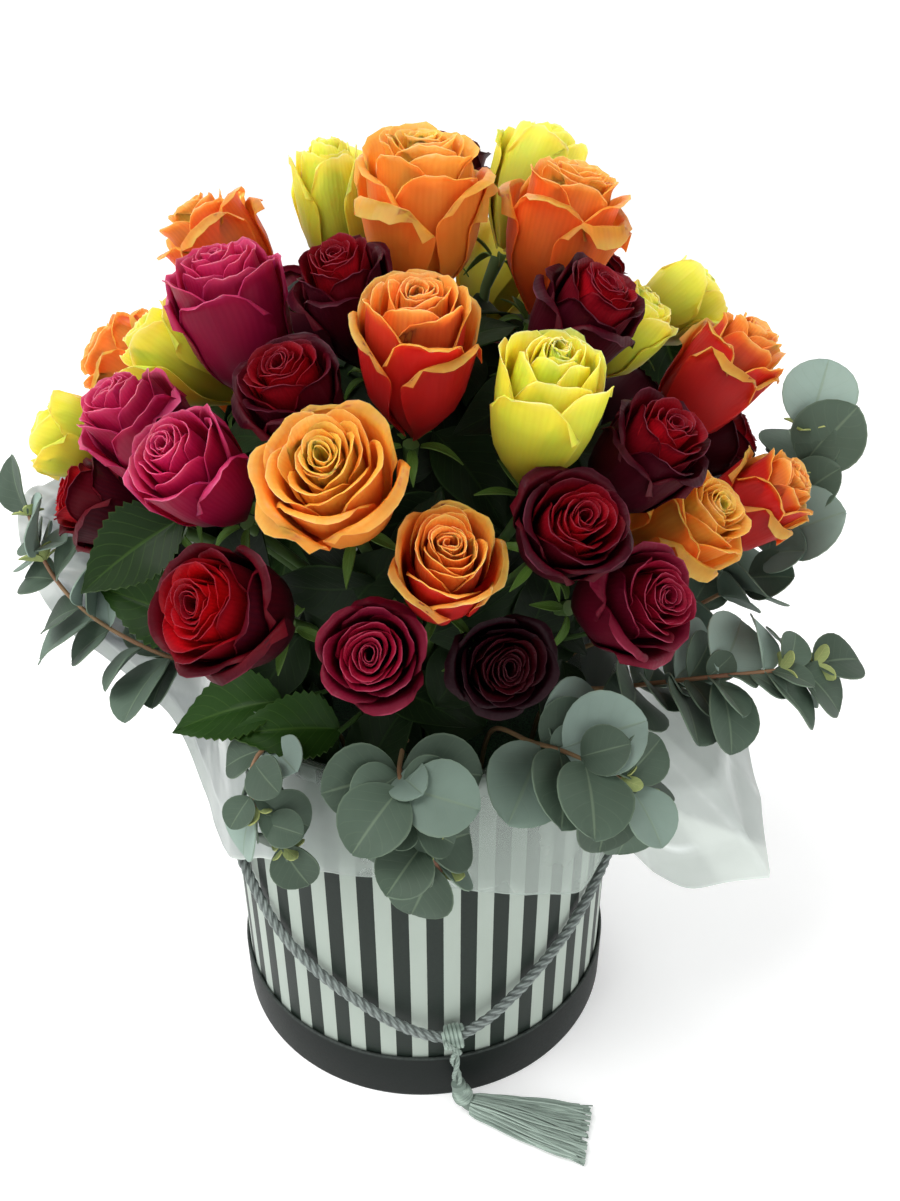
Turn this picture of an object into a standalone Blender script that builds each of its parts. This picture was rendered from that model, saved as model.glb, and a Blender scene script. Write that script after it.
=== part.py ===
"""Flower hat box: a striped round box, standing in its own lid, filled with roses and eucalyptus.

Units are metres, +Z is up, and the origin is the centre of the lid's underside.
Front is -Y. An azimuth is measured from the front, positive towards +X.
"""

import math

import bmesh
import bpy
import numpy as np
from mathutils import Vector

MM = 0.001
GAP = 0.35 * MM  # air between two pieces that touch

# The card box and the lid that it stands in
BOX_RADIUS = 95 * MM
BOX_RIM = 190 * MM
BOX_CARD = 2 * MM
LID_RADIUS = 97 * MM
LID_HEIGHT = 26.5 * MM
LID_FLOOR = 2 * MM
ROUND_SIDES = 40

# The cord, its holes, its knots and the tassel
CORD_DIAMETER = 5 * MM
CORD_HOLE_RADIUS = 4.2 * MM
CORD_HOLE_HEIGHT = 150 * MM
CORD_POINT_SPACING = 12.75 * MM  # puts the middle of a span at the cord's low point
CORD_END_RADIUS = 92.6 * MM
KNOT_SIZE = (3.7 * MM, 6 * MM, 5.5 * MM)
TASSEL_BEAD_RADIUS = 6.5 * MM
TASSEL_BORE_RADIUS = 3.3 * MM

# The cord's route: azimuth in degrees, distance from the axis and height in millimetres
CORD_ROUTE = (
    (-90, 93.2, 150), (-90, 97, 150), (-89.5, 101.5, 147.5), (-88, 103, 142), (-84, 102, 135),
    (-78, 100, 129), (-70, 98.6, 122.5), (-60, 98.4, 113), (-50, 98.4, 100), (-41, 98.4, 88),
    (-33, 98.4, 79.5), (-25, 98.4, 72), (-17, 98.6, 65), (-8, 99.8, 57), (1, 101.3, 50.5),
    (9, 102, 48), (17, 101.3, 53.5), (25, 99.8, 61.5), (33, 98.6, 70), (42, 98.4, 80),
    (51, 98.4, 90), (61, 98.6, 100), (70, 99.8, 110.5), (78, 101.7, 122), (84, 103, 133),
    (88.5, 103.4, 142), (89.5, 101.5, 147.5), (90, 97, 150), (90, 93.2, 150),
)
CORD_LOW_POINT = CORD_ROUTE[15]

# The tassel from its bead to the tips of its skirt, lying on the table:
# x, y, height of its middle, half its width and half its thickness, all in millimetres
TASSEL_STATIONS = (
    (16.1, -102.2, 36.0, 2.8, 1.9), (16.6, -102.4, 27.0, 2.8, 1.9),
    (17.8, -102.8, 18.0, 3.0, 2.2), (18.8, -103.4, 13.0, 4.6, 4.3), (20.6, -104.2, 8.5, 5.2, 4.9),
    (24.0, -105.4, 6.0, 4.6, 4.3), (28.0, -106.4, 5.6, 6.2, 5.0), (39.0, -109.2, 5.2, 8.6, 4.8),
    (52.0, -112.6, 4.6, 11.2, 4.2), (65.0, -116.0, 3.8, 13.6, 3.4), (78.0, -119.4, 3.0, 15.6, 2.6),
)
TASSEL_SIDES = 8

# The frosted film: a pouch inside the box that comes out over the rim as a loose skirt
FILM_THICKNESS = 0.8 * MM
FILM_PROFILE = ((82, 5.3), (84, 160), (91.4, 191), (95.6, 192.6))
# Its hem all round: azimuth in degrees, distance from the axis and height in millimetres
FILM_HEM = (
    (-180, 124, 170), (-168, 142, 178), (-158, 164, 190), (-148, 152, 194), (-136, 148, 202),
    (-124, 156, 226), (-112, 178, 252), (-102, 190, 262), (-96, 184, 254), (-90, 164, 236),
    (-85, 138, 214), (-80, 116, 184), (-75, 107, 142), (-68, 104.5, 117), (-60, 103.5, 113),
    (-52, 102, 120), (-44, 99.6, 129), (-34, 98.6, 136), (-22, 98.6, 140), (-8, 98.6, 142),
    (4, 98.6, 139), (16, 98.6, 132), (28, 98.8, 123), (38, 99.6, 114), (47, 102.4, 106),
    (54, 108, 103), (59, 124, 106), (63, 150, 111), (66, 172, 116), (71, 166, 134),
    (80, 156, 158), (92, 148, 172), (108, 136, 176), (126, 138, 176), (142, 156, 180),
    (156, 140, 174),
)
FILM_RIM = (98.2, 191)
FILM_SKIRT_STEPS = (0.1, 0.55, 1.0)
FILM_PLEAT = 1.6 * MM

# The block of flower foam inside the pouch
FOAM_RADIUS = 80 * MM
FOAM_BOTTOM = 6.2 * MM
FOAM_TOP = 158 * MM
FOAM_SIDES = 24
SPRAY_HOLE_CIRCLE = 60 * MM
SPRAY_HOLE_RADIUS = 2.4 * MM
SPRAY_HOLE_BOTTOM = 120 * MM

# The bound bunch of stems: distance from the axis and height in millimetres
BUNCH_PROFILE = ((20, 30), (20, 160), (33, 200), (24, 224))
BUNCH_RIBS = 7
BUNCH_RIB_DEPTH = 0.1
BUNCH_HOLE_RADIUS = 23 * MM

# The dome that the rose heads stand on
DOME_MIDDLE = 272 * MM
DOME_RADIUS = 122 * MM
DOME_RISE = 104 * MM
DOME_DROP = 60 * MM

# Each rose: colour, azimuth and angle down from the top in degrees, how far it stands proud of the
# dome and its head's radius in millimetres, the lean of its face in degrees, and its tallness
ROSES = (
    ("yellow", -124, 18, 20, 19, 6, 1.6), ("burgundy", 150, 24, 24, 22, 20, 1.1),
    ("orange", 10, 13, 14, 28, 14, 1.2), ("yellow", 126, 24, 24, 21, 30, 1.3),
    ("orange", 68, 29, 14, 24, 16, 1.25), ("burgundy", 99, 43, 8, 22, 46, 1.0),
    ("burgundy", 56, 38, 10, 22, 32, 1.1), ("yellow", 98, 50, 14, 20, 52, 1.05),
    ("yellow", 80, 46, 4, 20, 36, 1.1), ("bicolour", 84, 59, 12, 22, 36, 1.5),
    ("orange", -96, 41, 14, 23, 38, 1.1), ("magenta", -51, 36, 4, 24, 16, 1.35),
    ("burgundy", -26, 27, 4, 19, 24, 1.4), ("bicolour", 10, 45, 4, 23, 22, 1.4),
    ("yellow", 22, 53, 6, 22, 20, 1.4), ("burgundy", 44, 67, 4, 20, 38, 1.4),
    ("burgundy", 87, 79, 10, 20, 66, 1.0), ("bicolour", 74, 83, 14, 20, 50, 1.5),
    ("orange", 53, 80, 2, 23, 48, 1.2), ("burgundy", -26, 57, 0, 21, 32, 1.15),
    ("magenta", -62, 66, 4, 23, 34, 1.35), ("yellow", -87, 56, 4, 22, 50, 1.15),
    ("yellow", -86, 76, 16, 20, 66, 1.0), ("orange", -94, 67, 12, 21, 62, 1.0),
    ("burgundy", -76, 82, 12, 21, 62, 1.2), ("burgundy", -106, 54, 2, 22, 48, 1.0),
    ("magenta", -32, 70, 0, 21, 40, 1.3), ("orange", -8, 66, 8, 24, 42, 1.2),
    ("bicolour", 6, 77, 2, 20, 40, 1.45), ("burgundy", 19, 73, 2, 20, 48, 1.15),
    ("burgundy", -32, 81, 2, 26, 56, 1.1), ("crimson", -2, 88, 0, 19, 58, 1.15),
    ("burgundy", 15, 96, 0, 19, 66, 1.0), ("crimson", 41, 86, 4, 22, 62, 1.15),
    ("orange", -170, 47, 4, 26, 48, 1.1), ("magenta", 150, 62, 2, 25, 60, 1.1),
    ("burgundy", 126, 82, 2, 25, 74, 1.05), ("yellow", 158, 88, 2, 24, 76, 1.05),
    ("bicolour", -172, 80, 2, 25, 72, 1.15), ("crimson", -144, 60, 2, 25, 56, 1.05),
    ("burgundy", -144, 88, 2, 24, 76, 1.0), ("orange", -120, 80, 4, 25, 72, 1.1),
    ("yellow", 150, 40, 2, 23, 38, 1.1),
)
SETTLE_ROUNDS = 400
SETTLE_PULL = 0.02
SETTLE_ROOM = 0.8 * MM
SETTLE_PUSH = 0.3
SETTLE_FREE = 0.7  # after this share of the rounds, nothing pulls a head back to its own place
ROSE_SIDES = 15
ROSE_BASE = 1.3  # the foot and the tip of a head of radius and tallness one, down and up its axis
ROSE_TIP = 0.76
GOLDEN_ANGLE = math.radians(137.5)
BODY_SHARE = 0.6  # the ball round a head's body, against its radius
BODY_DEPTH = 0.8  # and how far down the axis it lies
PETAL_COLOURS = {
    "yellow": (0.85, 0.68, 0.02), "orange": (0.85, 0.22, 0.01), "bicolour": (0.72, 0.07, 0.01),
    "burgundy": (0.16, 0.004, 0.012), "magenta": (0.42, 0.006, 0.09), "crimson": (0.32, 0.006, 0.04),
}

# Each rose's stem: where it leaves the bunch, its neck, calyx and sepals
STEM_FORK = (176 * MM, 214 * MM)
STEM_FORK_RISE = 0.30
STEM_FORK_FROM = 215 * MM
STEM_FORK_OUT = 12 * MM
STEM_RADIUS = 2.4 * MM
NECK_RADIUS = 2.2 * MM
NECK_DEPTH = 13 * MM
CALYX_RADIUS = 4.2 * MM
CALYX_DEPTH = 4.5 * MM
SEPAL_REACH = 0.5  # of the head's radius
SEPAL_GAP = 0.27
SEPAL_DROP = 1.4 * MM

# Rose leaves on the outside of the bunch: azimuth in degrees, and the height of the leaf's foot, its
# distance from the axis and its length in millimetres
ROSE_LEAVES = (
    (-58, 236, 98, 46), (-36, 214, 90, 44), (-20, 206, 86, 40), (70, 224, 90, 42),
    (100, 226, 94, 44), (126, 222, 92, 46), (164, 222, 94, 44),
    (-160, 222, 92, 44), (-128, 226, 94, 46), (-98, 222, 92, 44),
)
LEAF_FOOT = (20 * MM, 196 * MM)  # where its stalk leaves the bunch
LEAF_STALK = 1.3 * MM
LEAF_THICKNESS = 0.7 * MM
# Leaf outlines: share of the length, and share of half the width
ROUND_LEAF = ((0.30, 0.86), (0.62, 1.0), (0.88, 0.62))
TOOTHED_LEAF = ((0.16, 0.62), (0.33, 0.98), (0.40, 0.80), (0.62, 0.92), (0.68, 0.64), (0.84, 0.46))
ROUND_LEAF_WIDTH = 0.86  # of its length
TOOTHED_LEAF_WIDTH = 0.66
# What a leaf tries in turn until it is clear. A rose leaf: a swing, a droop and a size.
LEAF_TRIES = (
    (0, 0.1, 1), (14, 0.3, 0.9), (-14, 0.3, 0.9), (0, -0.3, 0.8), (20, 0, 0.7), (-20, 0, 0.7),
)
# A round leaf: its angle from the stem, its lift towards the sky and its size.
ROUND_LEAF_TRIES = (
    (55, 0, 1), (55, 25, 1), (55, -25, 1), (35, 0, 0.9), (75, 0, 0.9), (55, 45, 0.85),
    (35, 30, 0.8), (75, -30, 0.8), (20, 0, 0.7), (90, 20, 0.7), (60, 60, 0.6),
)
SCRAP_VOLUME = (2 * MM) ** 3  # a fused shell smaller than this, or a hollow, is dropped

# Eucalyptus: the foam hole's azimuth, the length of the leaves at its foot and at its tip, its pairs
# of leaves, and the stem's route outside the rim (azimuth, distance from the axis, height)
SPRAYS = {
    "eucalyptus_front_left": (
        -30, 27, 20, 4,
        ((-31, 98, 204), (-32, 112, 205), (-31, 121, 196), (-28, 123, 184), (-25, 121, 172)),
    ),
    "eucalyptus_front": (
        -3, 30, 25, 5,
        ((-3, 98, 203), (-2, 114, 206), (0, 124, 199), (2, 125, 186), (5, 122, 170)),
    ),
    "eucalyptus_front_right": (
        27, 35, 27, 6,
        ((28, 98, 204), (30, 114, 209), (33, 128, 208), (37, 134, 200), (41, 134, 188)),
    ),
    "eucalyptus_right_low": (
        58, 35, 24, 5,
        ((58, 98, 206), (58, 118, 216), (60, 140, 224), (64, 158, 226), (70, 172, 222)),
    ),
    "eucalyptus_right_high": (
        86, 36, 31, 4,
        ((86, 98, 206), (87, 126, 220), (87, 150, 240), (88, 162, 268), (90, 164, 300)),
    ),
    "eucalyptus_left": (
        -68, 34, 26, 3,
        ((-68, 98, 206), (-70, 120, 218), (-74, 142, 234), (-78, 156, 252), (-82, 162, 272)),
    ),
    "eucalyptus_back_left": (
        -140, 36, 28, 4,
        ((-140, 98, 206), (-140, 122, 224), (-142, 146, 238), (-144, 162, 258), (-146, 166, 284)),
    ),
    "eucalyptus_back_right": (
        140, 36, 28, 4,
        ((140, 98, 206), (140, 122, 222), (138, 146, 234), (136, 160, 252), (134, 166, 276)),
    ),
}
SPRAY_STEM_RADIUS = 1.25 * MM
SPRAY_STEM_SIDES = 5
SPRAY_GAP_ROUTE = ((60, 160), (70, 192))  # out of the foam and under the roses: distance and height


def clear_scene():
    """Remove what the scene holds, so the script always starts from nothing."""
    for old in list(bpy.data.objects):
        bpy.data.objects.remove(old, do_unlink=True)


def material(name, colour, roughness, metallic=0.0):
    """A Principled material with the piece's colour, roughness and metallic value."""
    mat = bpy.data.materials.new(name)
    mat.use_nodes = True
    shader = mat.node_tree.nodes["Principled BSDF"]
    shader.inputs["Base Color"].default_value = (*colour, 1.0)
    shader.inputs["Roughness"].default_value = roughness
    shader.inputs["Metallic"].default_value = metallic
    return mat


def add_piece(name, points, faces, mat, smooth=True):
    """One object from points and faces, shaded smooth except across sharp edges."""
    mesh = bpy.data.meshes.new(name)
    mesh.from_pydata([tuple(p) for p in points], [], faces)
    mesh.materials.append(mat)
    if smooth:
        mesh.shade_smooth()
        mesh.set_sharp_from_angle(angle=math.radians(35))
    piece = bpy.data.objects.new(name, mesh)
    bpy.context.scene.collection.objects.link(piece)
    return piece


def polar(azimuth, distance, height):
    """The point at an azimuth in degrees, a distance from the axis and a height."""
    turn = math.radians(azimuth)
    return np.array([distance * math.sin(turn), -distance * math.cos(turn), height])


def unit(vector):
    """The vector at length one."""
    return vector / np.linalg.norm(vector)


def ring_faces(rings, sides, start=0):
    """Triangles between rings of points that lie one after the other, all cut the same way."""
    faces = []
    for ring in range(rings - 1):
        for k in range(sides):
            low, low_next = start + ring * sides + k, start + ring * sides + (k + 1) % sides
            high, high_next = low + sides, low_next + sides
            faces += [(low, low_next, high_next), (low, high_next, high)]
    return faces


def fan(ring_start, sides, pole, outward_up):
    """Triangles from a ring of points to a pole."""
    faces = []
    for k in range(sides):
        a, b = ring_start + k, ring_start + (k + 1) % sides
        faces.append((a, b, pole) if outward_up else (b, a, pole))
    return faces


def turned(name, profile, sides, mat, radius_at=None):
    """A solid turned about Z. The profile runs from its lower pole to its upper pole, outside first."""
    angles = np.arange(sides) * 2 * math.pi / sides
    rings = []
    for radius, height in profile[1:-1]:
        wide = radius * (radius_at(angles) if radius_at else 1.0)
        rings.append(np.stack([wide * np.cos(angles), wide * np.sin(angles), angles * 0 + height], 1))
    points = np.vstack(rings + [[(0, 0, profile[0][1])], [(0, 0, profile[-1][1])]])
    last = (len(rings) - 1) * sides
    faces = ring_faces(len(rings), sides)
    faces += fan(0, sides, len(points) - 2, False)
    faces += fan(last, sides, len(points) - 1, True)
    return add_piece(name, points, faces, mat)


def smooth_path(stations, steps):
    """A Catmull-Rom curve through the stations, with the given number of steps in each span."""
    pts = np.asarray(stations, float)
    padded = np.vstack([2 * pts[0] - pts[1], pts, 2 * pts[-1] - pts[-2]])
    out = []
    for i in range(len(pts) - 1):
        a, b, c, d = padded[i : i + 4]
        for k in range(steps):
            t = k / steps
            bend, twist = 2 * a - 5 * b + 4 * c - d, 3 * b - a - 3 * c + d
            out.append(b + 0.5 * ((c - a) * t + bend * t**2 + twist * t**3))
    out.append(pts[-1])
    return np.array(out)


def even_points(path, spacing):
    """The path's points again, at equal steps along it."""
    steps = np.linalg.norm(np.diff(path, axis=0), axis=1)
    along = np.concatenate([[0], np.cumsum(steps)])
    count = max(2, round(along[-1] / spacing) + 1)
    wanted = np.linspace(0, along[-1], count)
    return np.stack([np.interp(wanted, along, path[:, axis]) for axis in range(3)], 1)


def swept(path, across, radii, sides):
    """Points and faces of a tube along a path. `radii` gives half its width and thickness at each
    point, and `across` is a direction that its width keeps close to."""
    path = np.asarray(path, float)
    tangents = np.gradient(path, axis=0)
    angles = np.arange(sides) * 2 * math.pi / sides
    points = []
    for place, tangent, (wide, thick) in zip(path, tangents, radii):
        tangent = unit(tangent)
        side = unit(across - tangent * np.dot(across, tangent))
        up = np.cross(tangent, side)
        ring = np.outer(np.cos(angles) * wide, side) + np.outer(np.sin(angles) * thick, up)
        points.append(place + ring)
    points = np.vstack(points + [path[:1], path[-1:]])
    faces = ring_faces(len(path), sides)
    faces += fan(0, sides, len(points) - 2, False)
    faces += fan((len(path) - 1) * sides, sides, len(points) - 1, True)
    return points, faces


def cut(piece, cutters):
    """Cut plain holes in a piece and remove the cutters."""
    for cutter in cutters:
        cutter.hide_render = True
        cutter.display_type = "WIRE"
        hole = piece.modifiers.new("hole", "BOOLEAN")
        hole.operation = "DIFFERENCE"
        hole.solver = "EXACT"
        hole.object = cutter
    bake(piece)
    for cutter in cutters:
        bpy.data.objects.remove(cutter, do_unlink=True)


def bake(piece):
    """Replace a piece's mesh by its evaluated one and drop its modifiers."""
    bpy.context.view_layer.update()
    evaluated = piece.evaluated_get(bpy.context.evaluated_depsgraph_get())
    mesh = bpy.data.meshes.new_from_object(evaluated)
    piece.modifiers.clear()
    piece.data = mesh


def join_repeats(trunk, repeats, solver="EXACT"):
    """Fuse the repeats into the piece that they grow from, with one Boolean union."""
    group = bpy.data.collections.new(trunk.name + "_repeats")
    bpy.context.scene.collection.children.link(group)
    for repeat in repeats:
        for home in repeat.users_collection:
            home.objects.unlink(repeat)
        group.objects.link(repeat)
    union = trunk.modifiers.new("union", "BOOLEAN")
    union.operation = "UNION"
    union.operand_type = "COLLECTION"
    union.solver = solver
    union.collection = group
    bake(trunk)
    for repeat in repeats:
        bpy.data.objects.remove(repeat, do_unlink=True)
    bpy.data.collections.remove(group)
    tidy_mesh(trunk)
    return trunk


def tidy_mesh(piece):
    """Cut a union's faces into triangles, fill sealed hollows and drop loose scraps."""
    form = bmesh.new()
    form.from_mesh(piece.data)
    bmesh.ops.triangulate(form, faces=form.faces)
    waiting = set(form.faces)
    dropped = []
    while waiting:
        shell, edge_of_shell = [], [waiting.pop()]
        while edge_of_shell:
            face = edge_of_shell.pop()
            shell.append(face)
            for edge in face.edges:
                for other in edge.link_faces:
                    if other in waiting:
                        waiting.remove(other)
                        edge_of_shell.append(other)
        corners = np.array([[vert.co for vert in face.verts] for face in shell])
        volume = np.sum(corners[:, 0] * np.cross(corners[:, 1], corners[:, 2])) / 6
        if volume < SCRAP_VOLUME:
            dropped += list({vert for face in shell for vert in face.verts})
    bmesh.ops.delete(form, geom=dropped, context="VERTS")
    form.to_mesh(piece.data)
    form.free()
    piece.data.shade_smooth()
    piece.data.set_sharp_from_angle(angle=math.radians(35))


def build_lid():
    """The lid, used as a tray: a shallow card cup that the box stands in."""
    inside = BOX_RADIUS + GAP
    profile = (
        (0, 0), (LID_RADIUS, 0), (LID_RADIUS, LID_HEIGHT),
        (inside, LID_HEIGHT), (inside, LID_FLOOR), (0, LID_FLOOR),
    )
    return turned("base_lid", profile, ROUND_SIDES, material("dark_card", (0.028, 0.036, 0.034), 0.6))


def build_box():
    """The tall card box, open at the top, with a hole on each side for the cord."""
    low, floor = LID_FLOOR + GAP, LID_FLOOR + GAP + BOX_CARD
    inside = BOX_RADIUS - BOX_CARD
    profile = (
        (0, low), (BOX_RADIUS, low), (BOX_RADIUS, BOX_RIM),
        (inside, BOX_RIM), (inside, floor), (0, floor),
    )
    box = turned("hat_box", profile, ROUND_SIDES, material("striped_card", (0.35, 0.40, 0.37), 0.55))
    cutters = []
    for side in (-1, 1):
        bpy.ops.mesh.primitive_cylinder_add(
            vertices=8, radius=CORD_HOLE_RADIUS, depth=14 * MM,
            location=(side * BOX_RADIUS, 0, CORD_HOLE_HEIGHT), rotation=(0, math.pi / 2, 0),
        )
        cutters.append(bpy.context.active_object)
    cut(box, cutters)
    return box


def film_surface():
    """The film's middle surface: one column of points for each hem station, from floor to hem."""
    columns = []
    for number, (azimuth, hem_distance, hem_height) in enumerate(FILM_HEM):
        column = [polar(azimuth, distance * MM, height * MM) for distance, height in FILM_PROFILE]
        rim = np.array(FILM_RIM) * MM
        hem = np.array([hem_distance * MM, hem_height * MM])
        flare = max(0.0, (hem_distance - 104) / 90)
        for step in FILM_SKIRT_STEPS:
            distance, height = rim + (hem - rim) * step
            distance += flare * 8 * MM * math.sin(math.pi * step)
            height += flare * 10 * MM * math.sin(math.pi * step)
            distance += FILM_PLEAT * step * (number % 2) * min(1.0, flare * 4)
            column.append(polar(azimuth, distance, height))
        columns.append(column)
    return np.array(columns).transpose(1, 0, 2)


def film_spots():
    """Points about 7 mm apart all over the part of the film that lies outside the box."""
    rows = film_surface()[3:]
    steps = np.linspace(0, 1, 5)[:-1, None, None, None]
    fine = (rows[None, :-1] * (1 - steps) + rows[None, 1:] * steps).reshape(-1, *rows.shape[1:])
    fine = np.vstack([fine, rows[-1:]])
    around = fine[None] * (1 - steps) + np.roll(fine, -1, axis=1)[None] * steps
    return around.reshape(-1, 3)


def build_film():
    """The frosted film: both faces of its surface, closed along the hem and at the floor."""
    rows = film_surface()
    count, sides = rows.shape[:2]
    around = np.roll(rows, -1, axis=1) - np.roll(rows, 1, axis=1)
    along = np.gradient(rows, axis=0)
    normals = np.cross(around, along)
    normals /= np.linalg.norm(normals, axis=2, keepdims=True)
    normals[0] = (0.0, 0.0, -1.0)
    half = FILM_THICKNESS / 2
    outer = (rows + normals * half).reshape(-1, 3)
    inner = (rows - normals * half).reshape(-1, 3)
    floor = FILM_PROFILE[0][1] * MM
    points = np.vstack([outer, inner, [(0, 0, floor - half)], [(0, 0, floor + half)]])
    back = count * sides
    faces = ring_faces(count, sides) + fan(0, sides, 2 * back, False)
    faces += [(c, b, a) for a, b, c in ring_faces(count, sides, back)]
    faces += fan(back, sides, 2 * back + 1, True)
    for k in range(sides):
        a, b = (count - 1) * sides + k, (count - 1) * sides + (k + 1) % sides
        faces += [(a, b, back + b), (a, back + b, back + a)]
    return add_piece("film_wrap", points, faces, material("frosted_film", (0.62, 0.68, 0.64), 0.35))


def build_foam():
    """The foam block, with a wide hole for the bunch and a narrow one for each spray."""
    profile = ((0, FOAM_BOTTOM), (FOAM_RADIUS, FOAM_BOTTOM), (FOAM_RADIUS, FOAM_TOP), (0, FOAM_TOP))
    foam = turned("floral_foam", profile, FOAM_SIDES, material("wet_foam", (0.03, 0.12, 0.05), 0.95))
    bunch_bottom = (BUNCH_PROFILE[0][1] - 2) * MM
    holes = [(np.zeros(3), BUNCH_HOLE_RADIUS, 16, bunch_bottom)]
    for hole, *_ in SPRAYS.values():
        holes.append((polar(hole, SPRAY_HOLE_CIRCLE, 0), SPRAY_HOLE_RADIUS, 6, SPRAY_HOLE_BOTTOM))
    cutters = []
    for place, radius, sides, bottom in holes:
        depth = FOAM_TOP + 10 * MM - bottom
        bpy.ops.mesh.primitive_cylinder_add(
            vertices=sides, radius=radius, depth=depth, location=(place[0], place[1], bottom + depth / 2)
        )
        cutters.append(bpy.context.active_object)
    cut(foam, cutters)
    return foam


def cord_points():
    """The cord's middle line, at even steps along a smooth curve through its route."""
    stations = [polar(azimuth, distance * MM, height * MM) for azimuth, distance, height in CORD_ROUTE]
    return even_points(smooth_path(stations, 12), CORD_POINT_SPACING)


def build_cord():
    """The twisted cord: one tube that leaves a hole, hangs across the front and enters the other."""
    route = cord_points()
    curve = bpy.data.curves.new("carry_cord", "CURVE")
    curve.dimensions = "3D"
    curve.bevel_depth = CORD_DIAMETER / 2
    curve.bevel_resolution = 2
    curve.use_fill_caps = True
    spline = curve.splines.new("POLY")
    spline.points.add(len(route) - 1)
    for point, place in zip(spline.points, route):
        point.co = (*place, 1.0)
    curve.materials.append(material("grey_cord", (0.20, 0.24, 0.23), 0.6))
    cord = bpy.data.objects.new("carry_cord", curve)
    bpy.context.scene.collection.objects.link(cord)
    return cord


def build_knots():
    """A knot on each end of the cord, inside the wall, too big for its hole."""
    rope = material("grey_knot", (0.20, 0.24, 0.23), 0.6)
    for name, side in (("cord_knot_left", -1), ("cord_knot_right", 1)):
        form = bmesh.new()
        bmesh.ops.create_uvsphere(form, u_segments=8, v_segments=5, radius=1.0)
        middle = side * (CORD_END_RADIUS - GAP - KNOT_SIZE[0])
        for vert in form.verts:
            vert.co.x = middle + vert.co.x * KNOT_SIZE[0]
            vert.co.y *= KNOT_SIZE[1]
            vert.co.z = CORD_HOLE_HEIGHT + vert.co.z * KNOT_SIZE[2]
        mesh = bpy.data.meshes.new(name)
        form.to_mesh(mesh)
        form.free()
        mesh.materials.append(rope)
        bpy.context.scene.collection.objects.link(bpy.data.objects.new(name, mesh))


def build_tassel():
    """The tassel: a bead round the cord, two short strands, a bound head and a skirt on the table."""
    silk = material("sage_threads", (0.17, 0.22, 0.19), 0.7)
    route = cord_points()
    low = polar(CORD_LOW_POINT[0], CORD_LOW_POINT[1] * MM, CORD_LOW_POINT[2] * MM)
    middles = (route[1:] + route[:-1]) / 2
    nearest = np.argmin(np.linalg.norm(middles - low, axis=1))
    middle, along = middles[nearest], Vector(route[nearest + 1] - route[nearest])
    places = [middle - (0, 0, 0.8 * TASSEL_BEAD_RADIUS)]
    places += [np.array(station[:3]) * MM for station in TASSEL_STATIONS]
    radii = [(wide * MM, thick * MM) for *_, wide, thick in TASSEL_STATIONS]
    across = np.array([0.35, 1.0, 0.0])
    points, faces = swept(places, across, radii[:1] + radii, TASSEL_SIDES)
    tassel = add_piece("tassel", points, faces, silk)
    bpy.ops.mesh.primitive_uv_sphere_add(
        segments=8, ring_count=6, radius=TASSEL_BEAD_RADIUS, location=middle
    )
    join_repeats(tassel, [bpy.context.active_object])
    bpy.ops.mesh.primitive_cylinder_add(
        vertices=8, radius=TASSEL_BORE_RADIUS, depth=5 * TASSEL_BEAD_RADIUS,
        location=middle, rotation=along.to_track_quat("Z", "Y").to_euler(),
    )
    cut(tassel, [bpy.context.active_object])
    return tassel


def dome_point(azimuth, angle, proud):
    """The point of the dome at an azimuth and an angle from its top, moved out by `proud`."""
    down = math.radians(angle)
    across, up = math.sin(down), math.cos(down)
    height = DOME_RISE if up > 0 else DOME_DROP
    reach = 1 / math.hypot(across / DOME_RADIUS, up / height) + proud
    return polar(azimuth, reach * across, DOME_MIDDLE + reach * up)


def settle(places, axes, radii, tall):
    """Push neighbouring heads apart until none touch, keeping each near its own place. A head is
    two balls, one round its lip and a smaller one round its body."""
    start = places.copy()
    depth = BODY_DEPTH * radii * tall
    sizes = np.concatenate([radii, radii * BODY_SHARE])
    owner = np.concatenate([np.arange(len(places))] * 2)
    apart = sizes[:, None] + sizes[None, :] + SETTLE_ROOM
    same = owner[:, None] == owner[None, :]
    for round_number in range(SETTLE_ROUNDS):
        balls = np.vstack([places, places - axes * depth[:, None]])
        away = balls[:, None] - balls[None, :]
        far = np.linalg.norm(away, axis=2) + 1e-9
        short = np.where(same, 0.0, np.clip(apart - far, 0.0, None))
        push = (away / far[..., None] * short[..., None] * SETTLE_PUSH).sum(axis=1)
        move = push[: len(places)] + push[len(places) :]
        if round_number < SETTLE_ROUNDS * SETTLE_FREE:
            move += (start - places) * SETTLE_PULL
        places = places + move
    return places


def rose_layout():
    """Each rose's name, colour, settled place, axis, head radius and tallness."""
    places = np.array([dome_point(row[1], row[2], row[3] * MM) for row in ROSES])
    leans = [math.radians(row[5]) for row in ROSES]
    axes = np.array([polar(row[1], math.sin(lean), math.cos(lean)) for row, lean in zip(ROSES, leans)])
    radii = np.array([row[4] * MM for row in ROSES])
    tall = np.array([row[6] for row in ROSES])
    places = settle(places, axes, radii, tall)
    names = [f"rose_{number:02d}_{row[0]}" for number, row in enumerate(ROSES, 1)]
    return list(zip(names, [row[0] for row in ROSES], places, axes, radii, tall))


def turn_to(axis, spin):
    """The 3 by 3 matrix that turns Z to the axis after a spin about Z."""
    side = unit(np.cross((0.0, 1.0, 0.03), axis))
    other = np.cross(axis, side)
    turned_side = side * math.cos(spin) + other * math.sin(spin)
    return np.stack([turned_side, np.cross(axis, turned_side), axis], 1)


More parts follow.
